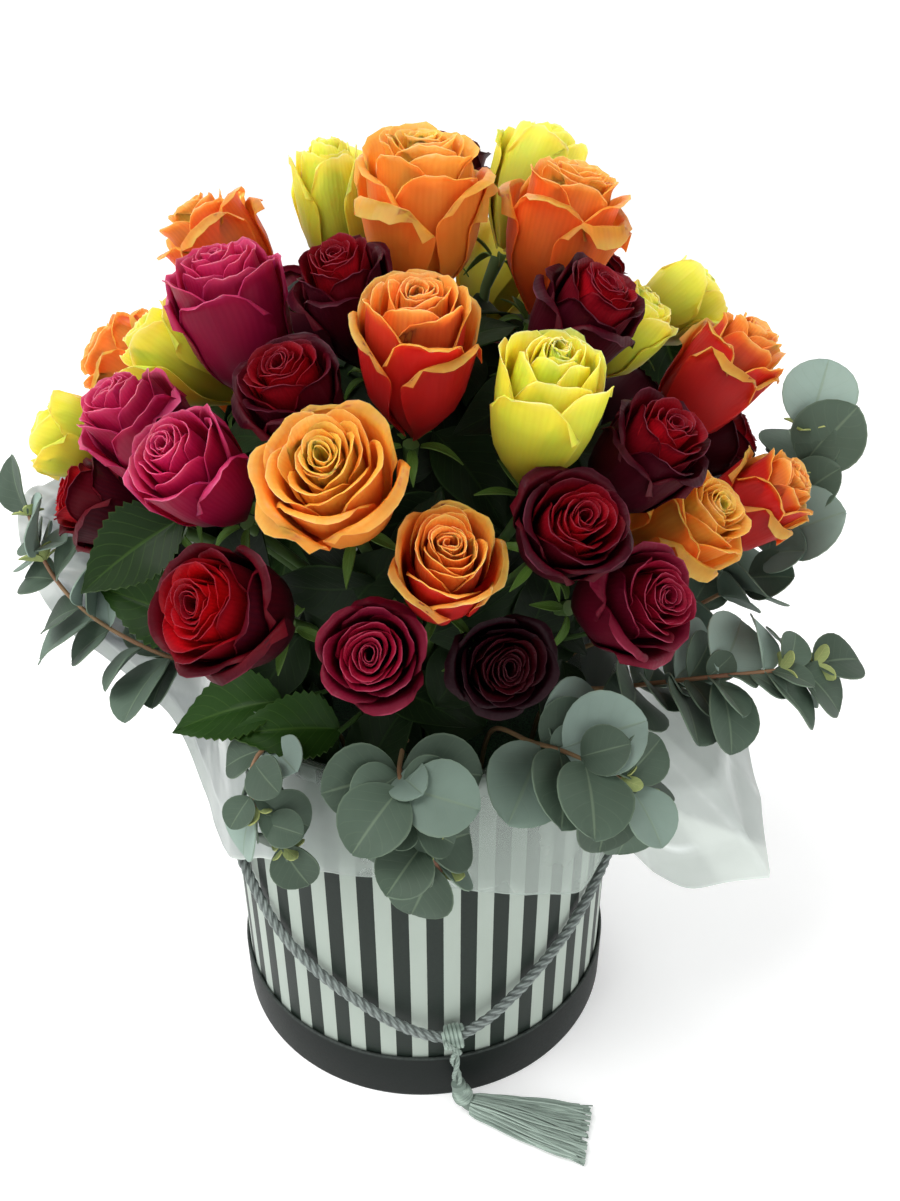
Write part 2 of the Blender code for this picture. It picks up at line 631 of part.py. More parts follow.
def rose_rings(angles):
    """A rose head of radius one as rings of radius and height: its body, a reflexed outer lip of
    five petals, a gutter, a second lip set half a petal round, a gutter and the pointed bud."""
    outer = 0.5 + 0.5 * np.cos(5 * angles)
    second = 0.5 - 0.5 * np.cos(5 * angles)
    level = angles * 0
    return (
        (level + 0.78, level - 0.42),
        (0.83 + 0.14 * outer, 0.26 - 0.10 * outer),
        (level + 0.60, level + 0.14),
        (0.54 + 0.20 * second, 0.50 + 0.06 * second),
        (level + 0.36, level + 0.34),
    )


def build_roses(layout):
    """One closed surface for each rose head."""
    petals = {name: material(f"petals_{name}", colour, 0.5) for name, colour in PETAL_COLOURS.items()}
    angles = np.arange(ROSE_SIDES) * 2 * math.pi / ROSE_SIDES
    for number, (name, colour, place, axis, radius, tall) in enumerate(layout):
        rings = [
            np.stack([wide * np.cos(angles), wide * np.sin(angles), high * tall], 1)
            for wide, high in rose_rings(angles)
        ]
        local = np.vstack(rings + [[(0, 0, -ROSE_BASE * tall)], [(0, 0, ROSE_TIP * tall)]]) * radius
        points = local @ turn_to(axis, number * GOLDEN_ANGLE).T + place
        faces = ring_faces(len(rings), ROSE_SIDES) + fan(0, ROSE_SIDES, len(points) - 2, False)
        faces += fan((len(rings) - 1) * ROSE_SIDES, ROSE_SIDES, len(points) - 1, True)
        add_piece(name, points, faces, petals[colour])


def blade(outline, place, along, face, arch):
    """A thin closed leaf. The outline runs round its edge from its foot, up its left side, over its
    tip and back, as distance along and across. `arch` bends its tip back and lifts its edges."""
    outline = np.asarray(outline, float)
    side = np.cross(face, along)
    length = outline[:, 0].max()
    lift = arch * (0.35 * np.abs(outline[:, 1]) - 0.5 * outline[:, 0] ** 2 / length)
    flat = np.outer(outline[:, 0], along) + np.outer(outline[:, 1], side)
    middle = place + flat + np.outer(lift, face)
    half = LEAF_THICKNESS / 2
    count = len(outline)
    points = np.vstack([middle + face * half, middle - face * half])
    tip = count // 2
    top = [(0, count - 1, 1)] + [(k, count - k, k + 1) for k in range(1, tip)]
    top += [(count - k, count - k - 1, k + 1) for k in range(1, tip - 1)]
    faces = top + [(c + count, b + count, a + count) for a, b, c in top]
    for k in range(count):
        after = (k + 1) % count
        faces += [(k, after, after + count), (k, after + count, k + count)]
    return points, faces


def leaf_outline(length, width, stations):
    """A leaf's outline from pairs of distance along and half width, given as shares of its size."""
    left = [(a * length, b * width / 2) for a, b in stations]
    right = [(x, -y) for x, y in reversed(left)]
    return [(0.0, 0.0)] + left + [(length, 0.0)] + right


class Room:
    """The balls that leaves have to stay clear of."""

    def __init__(self):
        self.places = np.zeros((0, 3))
        self.sizes = np.zeros(0)

    def fill(self, places, size):
        """Add balls of one size at these places."""
        self.places = np.vstack([self.places, places])
        self.sizes = np.concatenate([self.sizes, np.full(len(places), size)])

    def is_clear(self, places, margin):
        """True where no place comes nearer to a ball than its size and the margin."""
        far = np.linalg.norm(places[:, None] - self.places[None], axis=2)
        return bool((far > self.sizes[None] + margin).all())


def spread_points(points):
    """Points all over a thin leaf, from its outline without the one at its foot."""
    middle = points.mean(axis=0)
    outline = points[1 : len(points) // 2]
    edges = (outline[1:] + outline[:-1]) / 2
    return np.vstack([outline, edges, (outline + middle) / 2, outline * 0.25 + middle * 0.75, [middle]])


def build_stems(layout, room):
    """The bound bunch with every stem, calyx and rose leaf fused to it, in one green piece."""
    green = material("green_stems", (0.06, 0.16, 0.04), 0.6)
    profile = [(0, BUNCH_PROFILE[0][1] * MM)]
    profile += [(radius * MM, height * MM) for radius, height in BUNCH_PROFILE]
    profile += [(0, (BUNCH_PROFILE[-1][1] + 2) * MM)]

    def ribs(angles):
        return 1 + BUNCH_RIB_DEPTH * np.cos(BUNCH_RIBS * angles)

    bunch = turned("rose_stems", profile, 2 * BUNCH_RIBS, green, ribs)
    repeats = []
    for number, (name, _, place, axis, radius, tall) in enumerate(layout):
        top = place - axis * (radius * ROSE_BASE * tall + GAP)
        points, faces = stem_form(top, axis, number, radius)
        repeats.append(add_piece(name + "_stem", points, faces, green))
        path = np.linspace(points[:5].mean(axis=0), points[5:10].mean(axis=0), 14)[5:]
        room.fill(path, 4.5 * MM)
        room.fill([top - axis * 3 * MM], 0.55 * radius)
    stems = other_stems("")
    for number, (azimuth, height, reach, length) in enumerate(ROSE_LEAVES):
        for points, faces in rose_leaf(azimuth, height, reach, length, room, stems):
            repeats.append(add_piece(f"rose_leaf_{number}", points, faces, green))
    return join_repeats(bunch, repeats, "MANIFOLD")


def stem_form(top, axis, number, radius):
    """A five-sided stem out of the bunch that swells to the calyx and opens in five sepals."""
    out = np.array([top[0], top[1], 0.0])
    rise = STEM_FORK_RISE * max(0.0, top[2] - STEM_FORK_FROM)
    start = unit(out + 1e-9) * STEM_FORK_OUT + np.array([0, 0, min(STEM_FORK[1], STEM_FORK[0] + rise)])
    neck = top - axis * NECK_DEPTH
    frame = turn_to(axis, number * GOLDEN_ANGLE)
    angles = np.arange(5) * 2 * math.pi / 5

    def ring(middle, size, turn):
        local = np.stack([np.cos(angles) * size, np.sin(angles) * size, angles * 0], 1)
        return local @ turn.T + middle

    straight = turn_to(unit(neck - start), number * GOLDEN_ANGLE)
    wide = np.arange(10) * 2 * math.pi / 10
    is_tip = np.arange(10) % 2 == 0
    star = np.where(is_tip, SEPAL_REACH, SEPAL_GAP) * radius
    drop = np.where(is_tip, -SEPAL_DROP, 0.0)
    lip = np.stack([np.cos(wide) * star, np.sin(wide) * star, drop], 1) @ frame.T + top
    points = np.vstack([
        ring(start, STEM_RADIUS, straight), ring(neck, NECK_RADIUS, straight),
        ring(top - axis * CALYX_DEPTH, CALYX_RADIUS, frame), lip, [start], [top],
    ])
    faces = ring_faces(3, 5) + fan(0, 5, 25, False)
    for k in range(5):
        low, low_next = 10 + k, 10 + (k + 1) % 5
        a, b, c = 15 + 2 * k, 16 + 2 * k, 15 + (2 * k + 2) % 10
        faces += [(low, b, a), (low, low_next, b), (low_next, c, b)]
    return points, faces + fan(15, 10, 26, True)


def rose_leaf(azimuth, height, reach, length, room, stems):
    """A petiole from the bunch and a toothed leaf at its end, turned until it is clear of the rest."""
    foot = polar(azimuth, *LEAF_FOOT)
    place = polar(azimuth, reach * MM, height * MM)
    out = polar(azimuth, 1.0, 0.0)
    for swing, droop, size in LEAF_TRIES:
        along = unit(polar(azimuth + swing, 1.0, -droop))
        face = unit(np.cross(np.cross(along, (0, 0, 1.0)), along) + 0.25 * out)
        face = unit(face - along * np.dot(face, along))
        long = length * size * MM
        outline = leaf_outline(long, TOOTHED_LEAF_WIDTH * long, TOOTHED_LEAF)
        points, faces = blade(outline, place, along, face, 1.0)
        spots = spread_points(points)
        path = np.array([foot, (foot + place) / 2 - (0, 0, 3 * MM), place + along * 2 * MM])
        everywhere = np.vstack([spots, even_points(path, 4 * MM)])
        if room.is_clear(spots, 1.5 * MM) and stems.is_clear(everywhere, 1.5 * MM):
            room.fill(spots, 2.5 * MM)
            room.fill(even_points(path, 4 * MM), 1.5 * MM)
            stalk = swept(path, np.array([0.1, 0.1, 1.0]), [(LEAF_STALK, LEAF_STALK)] * 3, 3)
            return [(points, faces), stalk]
    return []


def spray_path(name):
    """A spray's stem, from the foam through the gap under the roses and over the rim."""
    hole, outside = SPRAYS[name][0], SPRAYS[name][-1]
    stations = [polar(hole, SPRAY_HOLE_CIRCLE, SPRAY_HOLE_BOTTOM + 1 * MM)]
    stations += [polar(hole, distance * MM, height * MM) for distance, height in SPRAY_GAP_ROUTE]
    stations += [polar(azimuth, distance * MM, height * MM) for azimuth, distance, height in outside]
    return smooth_path(stations, 1)


def other_stems(name):
    """The room that the stems of all sprays but the named one take up."""
    room = Room()
    for other in SPRAYS:
        if other != name:
            room.fill(even_points(spray_path(other), 4 * MM), SPRAY_STEM_RADIUS + 0.8 * MM)
    return room


def build_spray(name, green, number, room):
    """One eucalyptus stem with its pairs of round leaves."""
    _, foot_leaf, tip_leaf, pairs, outside = SPRAYS[name]
    path = spray_path(name)
    thin = np.linspace(1.0, 0.75, len(path))
    radii = [(SPRAY_STEM_RADIUS * t, SPRAY_STEM_RADIUS * t) for t in thin]
    points, faces = swept(path, np.array([0.3, 0.2, 1.0]), radii, SPRAY_STEM_SIDES)
    stem = add_piece(name, points, faces, green)
    leaves, own = [], Room()
    rooms = (room, own, other_stems(name))
    outer = even_points(smooth_path([polar(a, d * MM, h * MM) for a, d, h in outside], 8), 1 * MM)
    for pair in range(pairs):
        share = (pair + 0.5) / pairs
        spot = min(int(share * len(outer)), len(outer) - 3)
        along = unit(outer[spot + 2] - outer[spot])
        length = (foot_leaf + (tip_leaf - foot_leaf) * share) * MM
        for hand in (-1, 1):
            form = round_leaf(outer[spot], along, length, hand, number + pair, rooms)
            if form:
                leaves.append(add_piece(f"{name}_leaf", *form, green))
                own.fill(spread_points(form[0]), 1.6 * MM)
    tip = round_leaf(outer[-2], unit(outer[-1] - outer[-4]), tip_leaf * MM, 0, number, rooms)
    if tip:
        leaves.append(add_piece(f"{name}_leaf", *tip, green))
        own.fill(spread_points(tip[0]), 1.6 * MM)
    room.fill(own.places, 3 * MM)
    return join_repeats(stem, leaves, "MANIFOLD")


def round_leaf(place, along, length, hand, number, rooms):
    """A round leaf to one side of the stem, tilted until it is clear of everything else."""
    out = unit(np.array([place[0], place[1], 0.0]))
    sky = unit(out * 0.8 + np.array([0.0, 0.0, 0.75]))
    side = unit(np.cross(sky, along))
    for turn, tilt, size in ROUND_LEAF_TRIES:
        angle = math.radians(turn + 8 * math.sin(2.4 * number)) * hand
        way = along * math.cos(angle) + side * math.sin(angle)
        lean = math.radians(tilt + 14 * math.sin(1.7 * number + hand))
        way = unit(way * math.cos(lean) + sky * math.sin(lean))
        face = unit(sky - way * np.dot(sky, way))
        face = unit(face + 0.25 * math.sin(2.9 * number + hand) * np.cross(face, way))
        outline = leaf_outline(length * size, ROUND_LEAF_WIDTH * length * size, ROUND_LEAF)
        points, faces = blade(outline, place, way, face, 0.9)
        spots = spread_points(points)
        if all(room.is_clear(spots, 1.2 * MM) for room in rooms):
            return points, faces
    return None


def main():
    """Build every piece, the leaves last, because they are turned until they are clear of the rest."""
    clear_scene()
    build_lid()
    build_box()
    build_film()
    build_foam()
    build_cord()
    build_knots()
    build_tassel()
    layout = rose_layout()
    build_roses(layout)
    room = Room()
    for _, _, place, axis, radius, tall in layout:
        room.fill([place], radius)
        room.fill([place - axis * BODY_DEPTH * radius * tall], radius * BODY_SHARE)
    room.fill(film_spots(), 4.5 * MM)
    build_stems(layout, room)
    green = material("eucalyptus_green", (0.12, 0.19, 0.15), 0.6)
    for number, name in enumerate(SPRAYS):
        build_spray(name, green, number * 3, room)


main()
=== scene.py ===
# %% [markdown]
# # A flower hat box, from petals to paper
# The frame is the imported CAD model: every piece below stands where its CAD node stands. This lesson
# goes from the camera and the cord, which have to fit the frame first, to the card box, the film,
# the roses, the leaves and the studio. Each shape is a surface worked out with numpy from a short
# formula, and each finish is a small tree of shader nodes.

# %% Load the frame
import math
from functools import partialmethod

import bpy
import numpy as np
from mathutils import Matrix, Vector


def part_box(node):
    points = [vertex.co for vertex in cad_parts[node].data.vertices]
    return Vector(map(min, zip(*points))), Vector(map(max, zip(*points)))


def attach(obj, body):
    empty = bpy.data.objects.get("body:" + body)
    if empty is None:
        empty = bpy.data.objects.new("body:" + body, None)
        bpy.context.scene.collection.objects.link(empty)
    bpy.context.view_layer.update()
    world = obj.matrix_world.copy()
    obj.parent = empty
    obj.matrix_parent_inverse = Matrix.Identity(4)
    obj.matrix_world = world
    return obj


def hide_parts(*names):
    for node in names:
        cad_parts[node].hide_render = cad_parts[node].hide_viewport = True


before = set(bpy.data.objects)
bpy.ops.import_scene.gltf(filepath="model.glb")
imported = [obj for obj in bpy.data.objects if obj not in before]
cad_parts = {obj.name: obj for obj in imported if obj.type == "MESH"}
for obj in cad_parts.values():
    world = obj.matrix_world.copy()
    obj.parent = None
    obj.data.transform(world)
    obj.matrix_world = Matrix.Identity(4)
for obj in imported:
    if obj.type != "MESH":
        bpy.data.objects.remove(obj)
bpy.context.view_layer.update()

MM = 0.001
scene = bpy.context.scene

# %% [markdown]
# ## The camera
# The photo looks down on the box from about 44 cm above its foot, 40 cm in front of it. A phone's
# wide lens that close makes the dome loom over the box, and that is most of what the picture looks
# like, so the camera stands where the stripes, the rim and the lid of the photo say it stood.

# %% The camera at the photo's angle
CAMERA_PLACE = (0.0140, -0.4014, 0.4436)
CAMERA_TILT = 60.79  # degrees from looking straight down
FOCAL_PIXELS, FRAME_PIXELS = 1000, 1201

lens = bpy.data.cameras.new("photo_camera")
lens.sensor_fit = "VERTICAL"
lens.sensor_height = 36.0
lens.lens = 36.0 * FOCAL_PIXELS / FRAME_PIXELS
lens.clip_start = 0.01
camera = bpy.data.objects.new("photo_camera", lens)
camera.location = CAMERA_PLACE
camera.rotation_euler = (math.radians(CAMERA_TILT), 0.0, 0.0)
scene.collection.objects.link(camera)
scene.camera = camera
print("lens", round(lens.lens, 2), "mm")

# %% [markdown]
# ## A small toolbox for surfaces
# A petal, a leaf and a film are all the same thing: a grid of points bent into a form and given a
# thickness. A stem, a cord and a thread are a ring carried along a path. Two helpers make both, for
# many pieces at once, so no loop ever runs over single points.

# %% Vectors, grids and meshes
def unit(vectors):
    """Each vector divided by its own length."""
    vectors = np.asarray(vectors, float)
    return vectors / np.linalg.norm(vectors, axis=-1, keepdims=True)


def polar(azimuth, distance, height):
    """(d sin a, -d cos a, h): a point by its azimuth from the front in degrees, distance and height."""
    turn = np.radians(azimuth)
    return np.stack(np.broadcast_arrays(distance * np.sin(turn), -distance * np.cos(turn), height), -1)


def polar_rows(rows):
    """Points from rows of azimuth in degrees, and distance and height in mm."""
    return [polar(azimuth, distance * MM, height * MM) for azimuth, distance, height in rows]


def grid_quads(rows, columns, wrap=False):
    """Quads of a grid of points; `wrap` also joins its last column to its first."""
    place = np.arange(rows * columns).reshape(rows, columns)
    after = np.roll(place, -1, axis=1)
    if not wrap:
        place, after = place[:, :-1], after[:, :-1]
    return np.stack([place[:-1], after[:-1], after[1:], place[1:]], -1).reshape(-1, 4)


def sheet_quads(rows, columns):
    """Quads of a closed sheet: its front grid, its back grid turned over, and the strip round both."""
    front = grid_quads(rows, columns)
    size = rows * columns
    place = np.arange(size).reshape(rows, columns)
    edge = np.concatenate([place[0, :-1], place[:-1, -1], place[-1, :0:-1], place[:0:-1, 0]])
    after = np.roll(edge, -1)
    strip = np.stack([after, edge, edge + size, after + size], -1)
    return np.concatenate([front, front[:, ::-1] + size, strip])


def ramp(values, start, length):
    """0 up to `start`, then straight up to 1 over `length`; a negative length falls instead."""
    return np.clip((values - start) / length, 0, 1)


def bump(values, middle, width, power=2):
    """exp(-((x - middle) / width)^power): a soft bump of height 1."""
    return np.exp(-(((values - middle) / width) ** power))


def pole_fans(first, last, pole):
    """Triangles from a first ring to point `pole`, and from a last ring to the point after it."""
    low = np.stack([np.roll(first, -1), first, first * 0 + pole], -1)
    high = np.stack([last, np.roll(last, -1), last * 0 + pole + 1], -1)
    return low, high


def grid_normals(grid):
    """The unit normal at each point of grids of shape (..., rows, columns, 3)."""
    along, across = np.gradient(grid, axis=-3), np.gradient(grid, axis=-2)
    normal = np.cross(across, along)
    return normal / np.maximum(np.linalg.norm(normal, axis=-1, keepdims=True), 1e-12)


def ring_normals(grid):
    """The same for a grid whose last column meets its first."""
    closed = np.concatenate([grid[:, -1:], grid, grid[:, :1]], 1)
    return grid_normals(closed)[:, 1:-1]


def sheets(grids, half, paint):
    """Closed thin sheets: grid plus and minus `half` times its normal. `grids` is (pieces, rows,
    columns, 3) and `paint` the same with 3 numbers, whose copies on the two faces get a fourth
    number, 1 in front and 0 behind."""
    pieces, rows, columns = grids.shape[:3]
    normal = grid_normals(grids) * np.asarray(half)[..., None]
    points = np.stack([grids + normal, grids - normal], 1).reshape(-1, 3)
    faces = sheet_quads(rows, columns)[None] + (np.arange(pieces) * 2 * rows * columns)[:, None, None]
    front = np.concatenate([paint, np.ones_like(paint[..., :1])], -1)
    back = np.concatenate([paint, np.zeros_like(paint[..., :1])], -1)
    return points, faces.reshape(-1, 4), np.stack([front, back], 1).reshape(-1, 4)


def frames_along(path, across):
    """Side and up directions at each point of paths of shape (..., points, 3), from a direction
    that the side keeps close to."""
    ahead = unit(np.gradient(path, axis=-2))
    side = unit(across - ahead * (across * ahead).sum(-1, keepdims=True))
    return side, np.cross(ahead, side)


def tubes(paths, radius, sides, across, paint=None):
    """Closed tubes: side * radius cos a + up * radius sin a round each point of each path. `paths` is
    (pieces, points, 3), `radius` fits (pieces, points, sides, 2) for width and thickness, and
    `paint` is (pieces, points, 4)."""
    pieces, count = paths.shape[:2]
    side, up = frames_along(paths, across)
    angle = np.arange(sides) * 2 * math.pi / sides
    size = np.broadcast_to(np.asarray(radius, float), (pieces, count, sides, 2))
    ring = size[..., 0:1] * np.cos(angle)[:, None] * side[:, :, None]
    ring = ring + size[..., 1:2] * np.sin(angle)[:, None] * up[:, :, None]
    points = (paths[:, :, None] + ring).reshape(pieces, -1, 3)
    points = np.concatenate([points, paths[:, :1], paths[:, -1:]], 1)
    first, pole = np.arange(sides), count * sides
    start = (np.arange(pieces) * (pole + 2))[:, None, None]
    quads = (grid_quads(count, sides, wrap=True)[None] + start).reshape(-1, 4)
    fans = np.concatenate(pole_fans(first, first + pole - sides, pole))
    tips = (fans[None] + start).reshape(-1, 3)
    colour = np.zeros((pieces, count, 4)) if paint is None else paint
    shade = np.concatenate([np.repeat(colour, sides, 1), colour[:, :1], colour[:, -1:]], 1)
    return points.reshape(-1, 3), (quads, tips), shade.reshape(-1, 4)


def gather(parts):
    """Several (points, faces, paint) as one, with the face numbers moved on."""
    points, faces, paint, start = [], [], [], 0
    for part_points, part_faces, part_paint in parts:
        for block in part_faces if isinstance(part_faces, tuple) else (part_faces,):
            faces += (block + start).tolist()
        points.append(part_points)
        paint.append(part_paint)
        start += len(part_points)
    return np.concatenate(points), faces, np.concatenate(paint)


def make_piece(name, parts, finish, nodes, sharp=50):
    """A mesh from surfaces, with their paint in the attribute "paint", standing for CAD nodes."""
    points, faces, paint = gather(parts)
    mesh = bpy.data.meshes.new(name)
    mesh.from_pydata(points.tolist(), [], faces)
    layer = mesh.attributes.new("paint", "FLOAT_COLOR", "POINT")
    layer.data.foreach_set("color", paint.astype(np.float32).ravel())
    mesh.shade_smooth()
    mesh.set_sharp_from_angle(angle=math.radians(sharp))
    mesh.materials.append(finish)
    piece = bpy.data.objects.new(name, mesh)
    scene.collection.objects.link(piece)
    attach(piece, "root")
    if nodes:
        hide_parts(*nodes)
    return piece


def smooth_path(stations, steps):
    """A Catmull-Rom curve through the stations: each span is a cubic whose ends lean along the
    neighbours on either side."""
    pts = np.asarray(stations, float)
    padded = np.concatenate([2 * pts[:1] - pts[1:2], pts, 2 * pts[-1:] - pts[-2:-1]])
    t = (np.arange(steps) / steps)[None, :, None]
    a, b, c, d = (padded[k : k + len(pts) - 1, None] for k in range(4))
    bend, twist = 2 * a - 5 * b + 4 * c - d, 3 * b - a - 3 * c + d
    spans = b + 0.5 * ((c - a) * t + bend * t**2 + twist * t**3)
    return np.concatenate([spans.reshape(-1, pts.shape[1]), pts[-1:]])


def run_along(path):
    """How far along a path each of its points lies."""
    return np.concatenate([[0], np.cumsum(np.linalg.norm(np.diff(path, axis=0), axis=1))])


def even_points(path, spacing):
    """The path's points again, at equal steps along it."""
    along = run_along(path)
    wanted = np.linspace(0, along[-1], max(2, round(along[-1] / spacing) + 1))
    return np.stack([np.interp(wanted, along, path[:, axis]) for axis in range(3)], 1)


def lathe(profile, sides):
    """A closed solid of revolution: (r cos a, r sin a, z) for each (r, z), which starts and ends on
    the axis. The paint holds the share along the profile."""
    angle = np.arange(sides) * 2 * math.pi / sides
    rings = np.asarray(profile[1:-1], float)
    wide, high = rings[:, :1], np.repeat(rings[:, 1:], sides, 1)
    points = np.stack([wide * np.cos(angle), wide * np.sin(angle), high], -1).reshape(-1, 3)
    points = np.concatenate([points, [[0, 0, profile[0][1]], [0, 0, profile[-1][1]]]])
    first, pole = np.arange(sides), len(rings) * sides
    faces = (grid_quads(len(rings), sides, wrap=True), *pole_fans(first, first + pole - sides, pole))
    share = np.concatenate([np.repeat(np.linspace(0, 1, len(rings)), sides), [0, 1]])
    return points, faces, np.repeat(share[:, None], 4, 1)


print("toolbox ready")

# %% [markdown]
# ## A small toolbox for finishes
# A finish is a formula too. `Number` wraps the output of a node, so a mask can be written as
# `1 - along * 0.5`, and each step adds the Math node that it needs. `Paint` is one material: its
# `add` method makes every other node.

# %% Shader maths as Python
class Number:
    """An output socket that takes part in sums, with one Math node for each step."""

    def __init__(self, paint, socket):
        self.paint, self.socket = paint, socket

    def step(self, operation, *values):
        return self.paint.add("ShaderNodeMath", {"operation": operation}, dict(enumerate(values)))

    def of(self, operation, *others):
        """Any Math operation, with this number first."""
        return self.step(operation, self, *others)

    def __rsub__(self, other):
        return self.step("SUBTRACT", other, self)

    __add__ = __radd__ = partialmethod(of, "ADD")
    __mul__ = __rmul__ = partialmethod(of, "MULTIPLY")
    __sub__ = partialmethod(of, "SUBTRACT")
    __pow__ = partialmethod(of, "POWER")
    __abs__ = partialmethod(of, "ABSOLUTE")

    def rise(self, low, high):
        """0 below `low`, 1 above `high`, and a smooth step between them."""
        ends = {"Value": self, "From Min": low, "From Max": high}
        return self.paint.add("ShaderNodeMapRange", {"interpolation_type": "SMOOTHSTEP"}, ends)


class Paint:
    """One material: a Principled shader and the nodes that feed it."""

    def __init__(self, name, **constants):
        self.material = bpy.data.materials.new(name)
        self.material.use_nodes = True
        self.tree = self.material.node_tree
        self.shader = self.tree.nodes["Principled BSDF"]
        for socket, value in constants.items():
            self.shader.inputs[socket.replace("_", " ")].default_value = value

    def plug(self, socket, value):
        if isinstance(value, Number):
            self.tree.links.new(value.socket, socket)
        else:
            socket.default_value = value

    def add(self, kind, settings=None, sockets=None, out=0):
        """A node of a type, its settings, its sockets' values or links, and the output that is used."""
        node = self.tree.nodes.new(kind)
        for name, value in (settings or {}).items():
            setattr(node, name, value)
        for name, value in (sockets or {}).items():
            self.plug(node.inputs[name], value)
        return Number(self, node.outputs[out])

    def mix(self, share, first, second):
        """The first colour where the share is 0, and the second where it is 1."""
        return self.add("ShaderNodeMix", {"data_type": "RGBA"}, {0: share, 6: first, 7: second}, out=2)

    def split(self, vector):
        """The three numbers of a vector or a colour."""
        node = self.tree.nodes.new("ShaderNodeSeparateXYZ")
        self.plug(node.inputs[0], vector)
        return [Number(self, socket) for socket in node.outputs]

    def painted(self):
        """The four numbers of the attribute "paint"."""
        node = self.tree.nodes.new("ShaderNodeAttribute")
        node.attribute_name = "paint"
        return self.split(Number(self, node.outputs["Color"])) + [Number(self, node.outputs["Alpha"])]

    def place(self):
        """The point in the object's own coordinates, in metres."""
        return self.add("ShaderNodeTexCoord", out="Object")

    def noise(self, scale, detail=2.0, where=None, roughness=0.5):
        """Soft noise from 0 to 1, with `scale` lumps in each metre."""
        sockets = {"Vector": where or self.place(), "Scale": scale, "Detail": detail, "Roughness": roughness}
        return self.add("ShaderNodeTexNoise", {}, sockets)

    def feed(self, socket, value):
        self.plug(self.shader.inputs[socket], value)

    def finish(self, colour, roughness, height, distance, strength):
        """Feeds colour and roughness, and Normal with a height from 0 to 1 that stands up to
        `distance` metres, and gives the material."""
        sockets = {"Height": height, "Distance": distance, "Strength": strength}
        self.feed("Base Color", colour)
        self.feed("Roughness", roughness)
        self.feed("Normal", self.add("ShaderNodeBump", {}, sockets))
        return self.material


def rgb(red, green, blue):
    """A screen colour from 0 to 255 as the linear colour that shaders use."""
    share = np.array([red, green, blue]) / 255
    linear = np.where(share <= 0.04045, share / 12.92, ((share + 0.055) / 1.055) ** 2.4)
    return (*(float(x) for x in linear), 1.0)


print("finishes ready")

# %% [markdown]
# ## The cord
# A real carry cord is three strands twisted round each other, and its outline is three round lobes
# that turn as they go along. Here the ring that is carried along the route has that outline and
# turns by a full circle every 13 mm. The route repeats the CAD's.

# %% The cord's route
CORD_DIAMETER, CORD_LAY, CORD_SIDES = 5 * MM, 13 * MM, 18
CORD_ROUTE = (
    (-90, 93.2, 150), (-90, 97, 150), (-89.5, 101.5, 147.5), (-88, 103, 142), (-84, 102, 135),
    (-78, 100, 129), (-70, 98.6, 122.5), (-60, 98.4, 113), (-50, 98.4, 100), (-41, 98.4, 88),
    (-33, 98.4, 79.5), (-25, 98.4, 72), (-17, 98.6, 65), (-8, 99.8, 57), (1, 101.3, 50.5),
    (9, 102, 48), (17, 101.3, 53.5), (25, 99.8, 61.5), (33, 98.6, 70), (42, 98.4, 80),
    (51, 98.4, 90), (61, 98.6, 100), (70, 99.8, 110.5), (78, 101.7, 122), (84, 103, 133),
    (88.5, 103.4, 142), (89.5, 101.5, 147.5), (90, 97, 150), (90, 93.2, 150),
)
cord_line = even_points(smooth_path(polar_rows(CORD_ROUTE), 12), 1.2 * MM)

# %% Satin threads
# A strand's radius and its distance from the rope's axis, in rope diameters
STRAND_RADIUS, STRAND_OFFSET = 0.31, 0.19


def thread_finish(name, dark, light, gloss):
    """Twisted satin: the paint holds the turn round a strand and the place along it, and thin
    grooves between the threads, darkened as painted shade, run across both. The paint's third
    number darkens the tone too: painted shade where a rope sinks between its strands, and each
    skirt thread's own tone."""
    paint = Paint(name, Sheen_Weight=0.05, Sheen_Roughness=0.4, Specular_IOR_Level=0.25)
    turn, along, chance, _ = paint.painted()
    # Painted shade: the tone is dark in the grooves between the threads, and where a rope sinks between its
    # strands.
    ply = (turn * 9 + along * 2600).of("SINE") * 0.5 + 0.5
    shade = chance * 0.5 + ply * 0.35 + paint.noise(160, 3) * 0.25
    tone = paint.mix(shade.of("MINIMUM", 1.0), rgb(*dark), rgb(*light))
    return paint.finish(tone, 0.70 - ply * 0.25 * gloss, ply, 0.3 * MM, 0.8)


def rope(line, diameter, sides, turns_per_metre, across):
    """A three-strand rope. Its outline is b cos p + sqrt(a^2 - b^2 sin^2 p), three circles of radius
    a whose middles lie b from the axis, turned as it goes along."""
    a, b = STRAND_RADIUS * diameter, STRAND_OFFSET * diameter
    along = run_along(line)
    angle = np.arange(sides) * 2 * math.pi / sides
    spin = (angle[None] - along[:, None] * turns_per_metre * 2 * math.pi) % (2 * math.pi / 3)
    lobe = spin - math.pi / 3
    reach = b * np.cos(lobe) + np.sqrt(a**2 - (b * np.sin(lobe)) ** 2)
    points, faces, _ = tubes(line[None], reach[None, ..., None], sides, across)
    colour = np.zeros((len(line), sides, 4))
    colour[..., 0] = lobe
    colour[..., 1] = along[:, None]
    # Painted shade: the third number is low where the outline sinks between the strands, which darkens the
    # tone there.
    colour[..., 2] = (reach / reach.max() - 0.7) / 0.3
    return points, faces, np.concatenate([colour.reshape(-1, 4), np.zeros((2, 4))])


cord_finish = thread_finish("cord_satin", (26, 31, 30), (142, 152, 148), 1.0)
cord_part = rope(cord_line, CORD_DIAMETER, CORD_SIDES, 1 / CORD_LAY, np.array([0.05, 0.0, 1.0]))
cord_piece = make_piece("twisted_cord", [cord_part], cord_finish, ["carry_cord"])
print("cord triangles", 2 * len(cord_piece.data.polygons))

# %% [markdown]
# ## The knots and the tassel
# The cord's ends are tied inside the wall, each in an overhand knot. The tassel hangs at the low
# point: its own cord is wrapped round the rope, two short strands run down to a bound head, and
# the skirt of threads lies fanned out on the table.

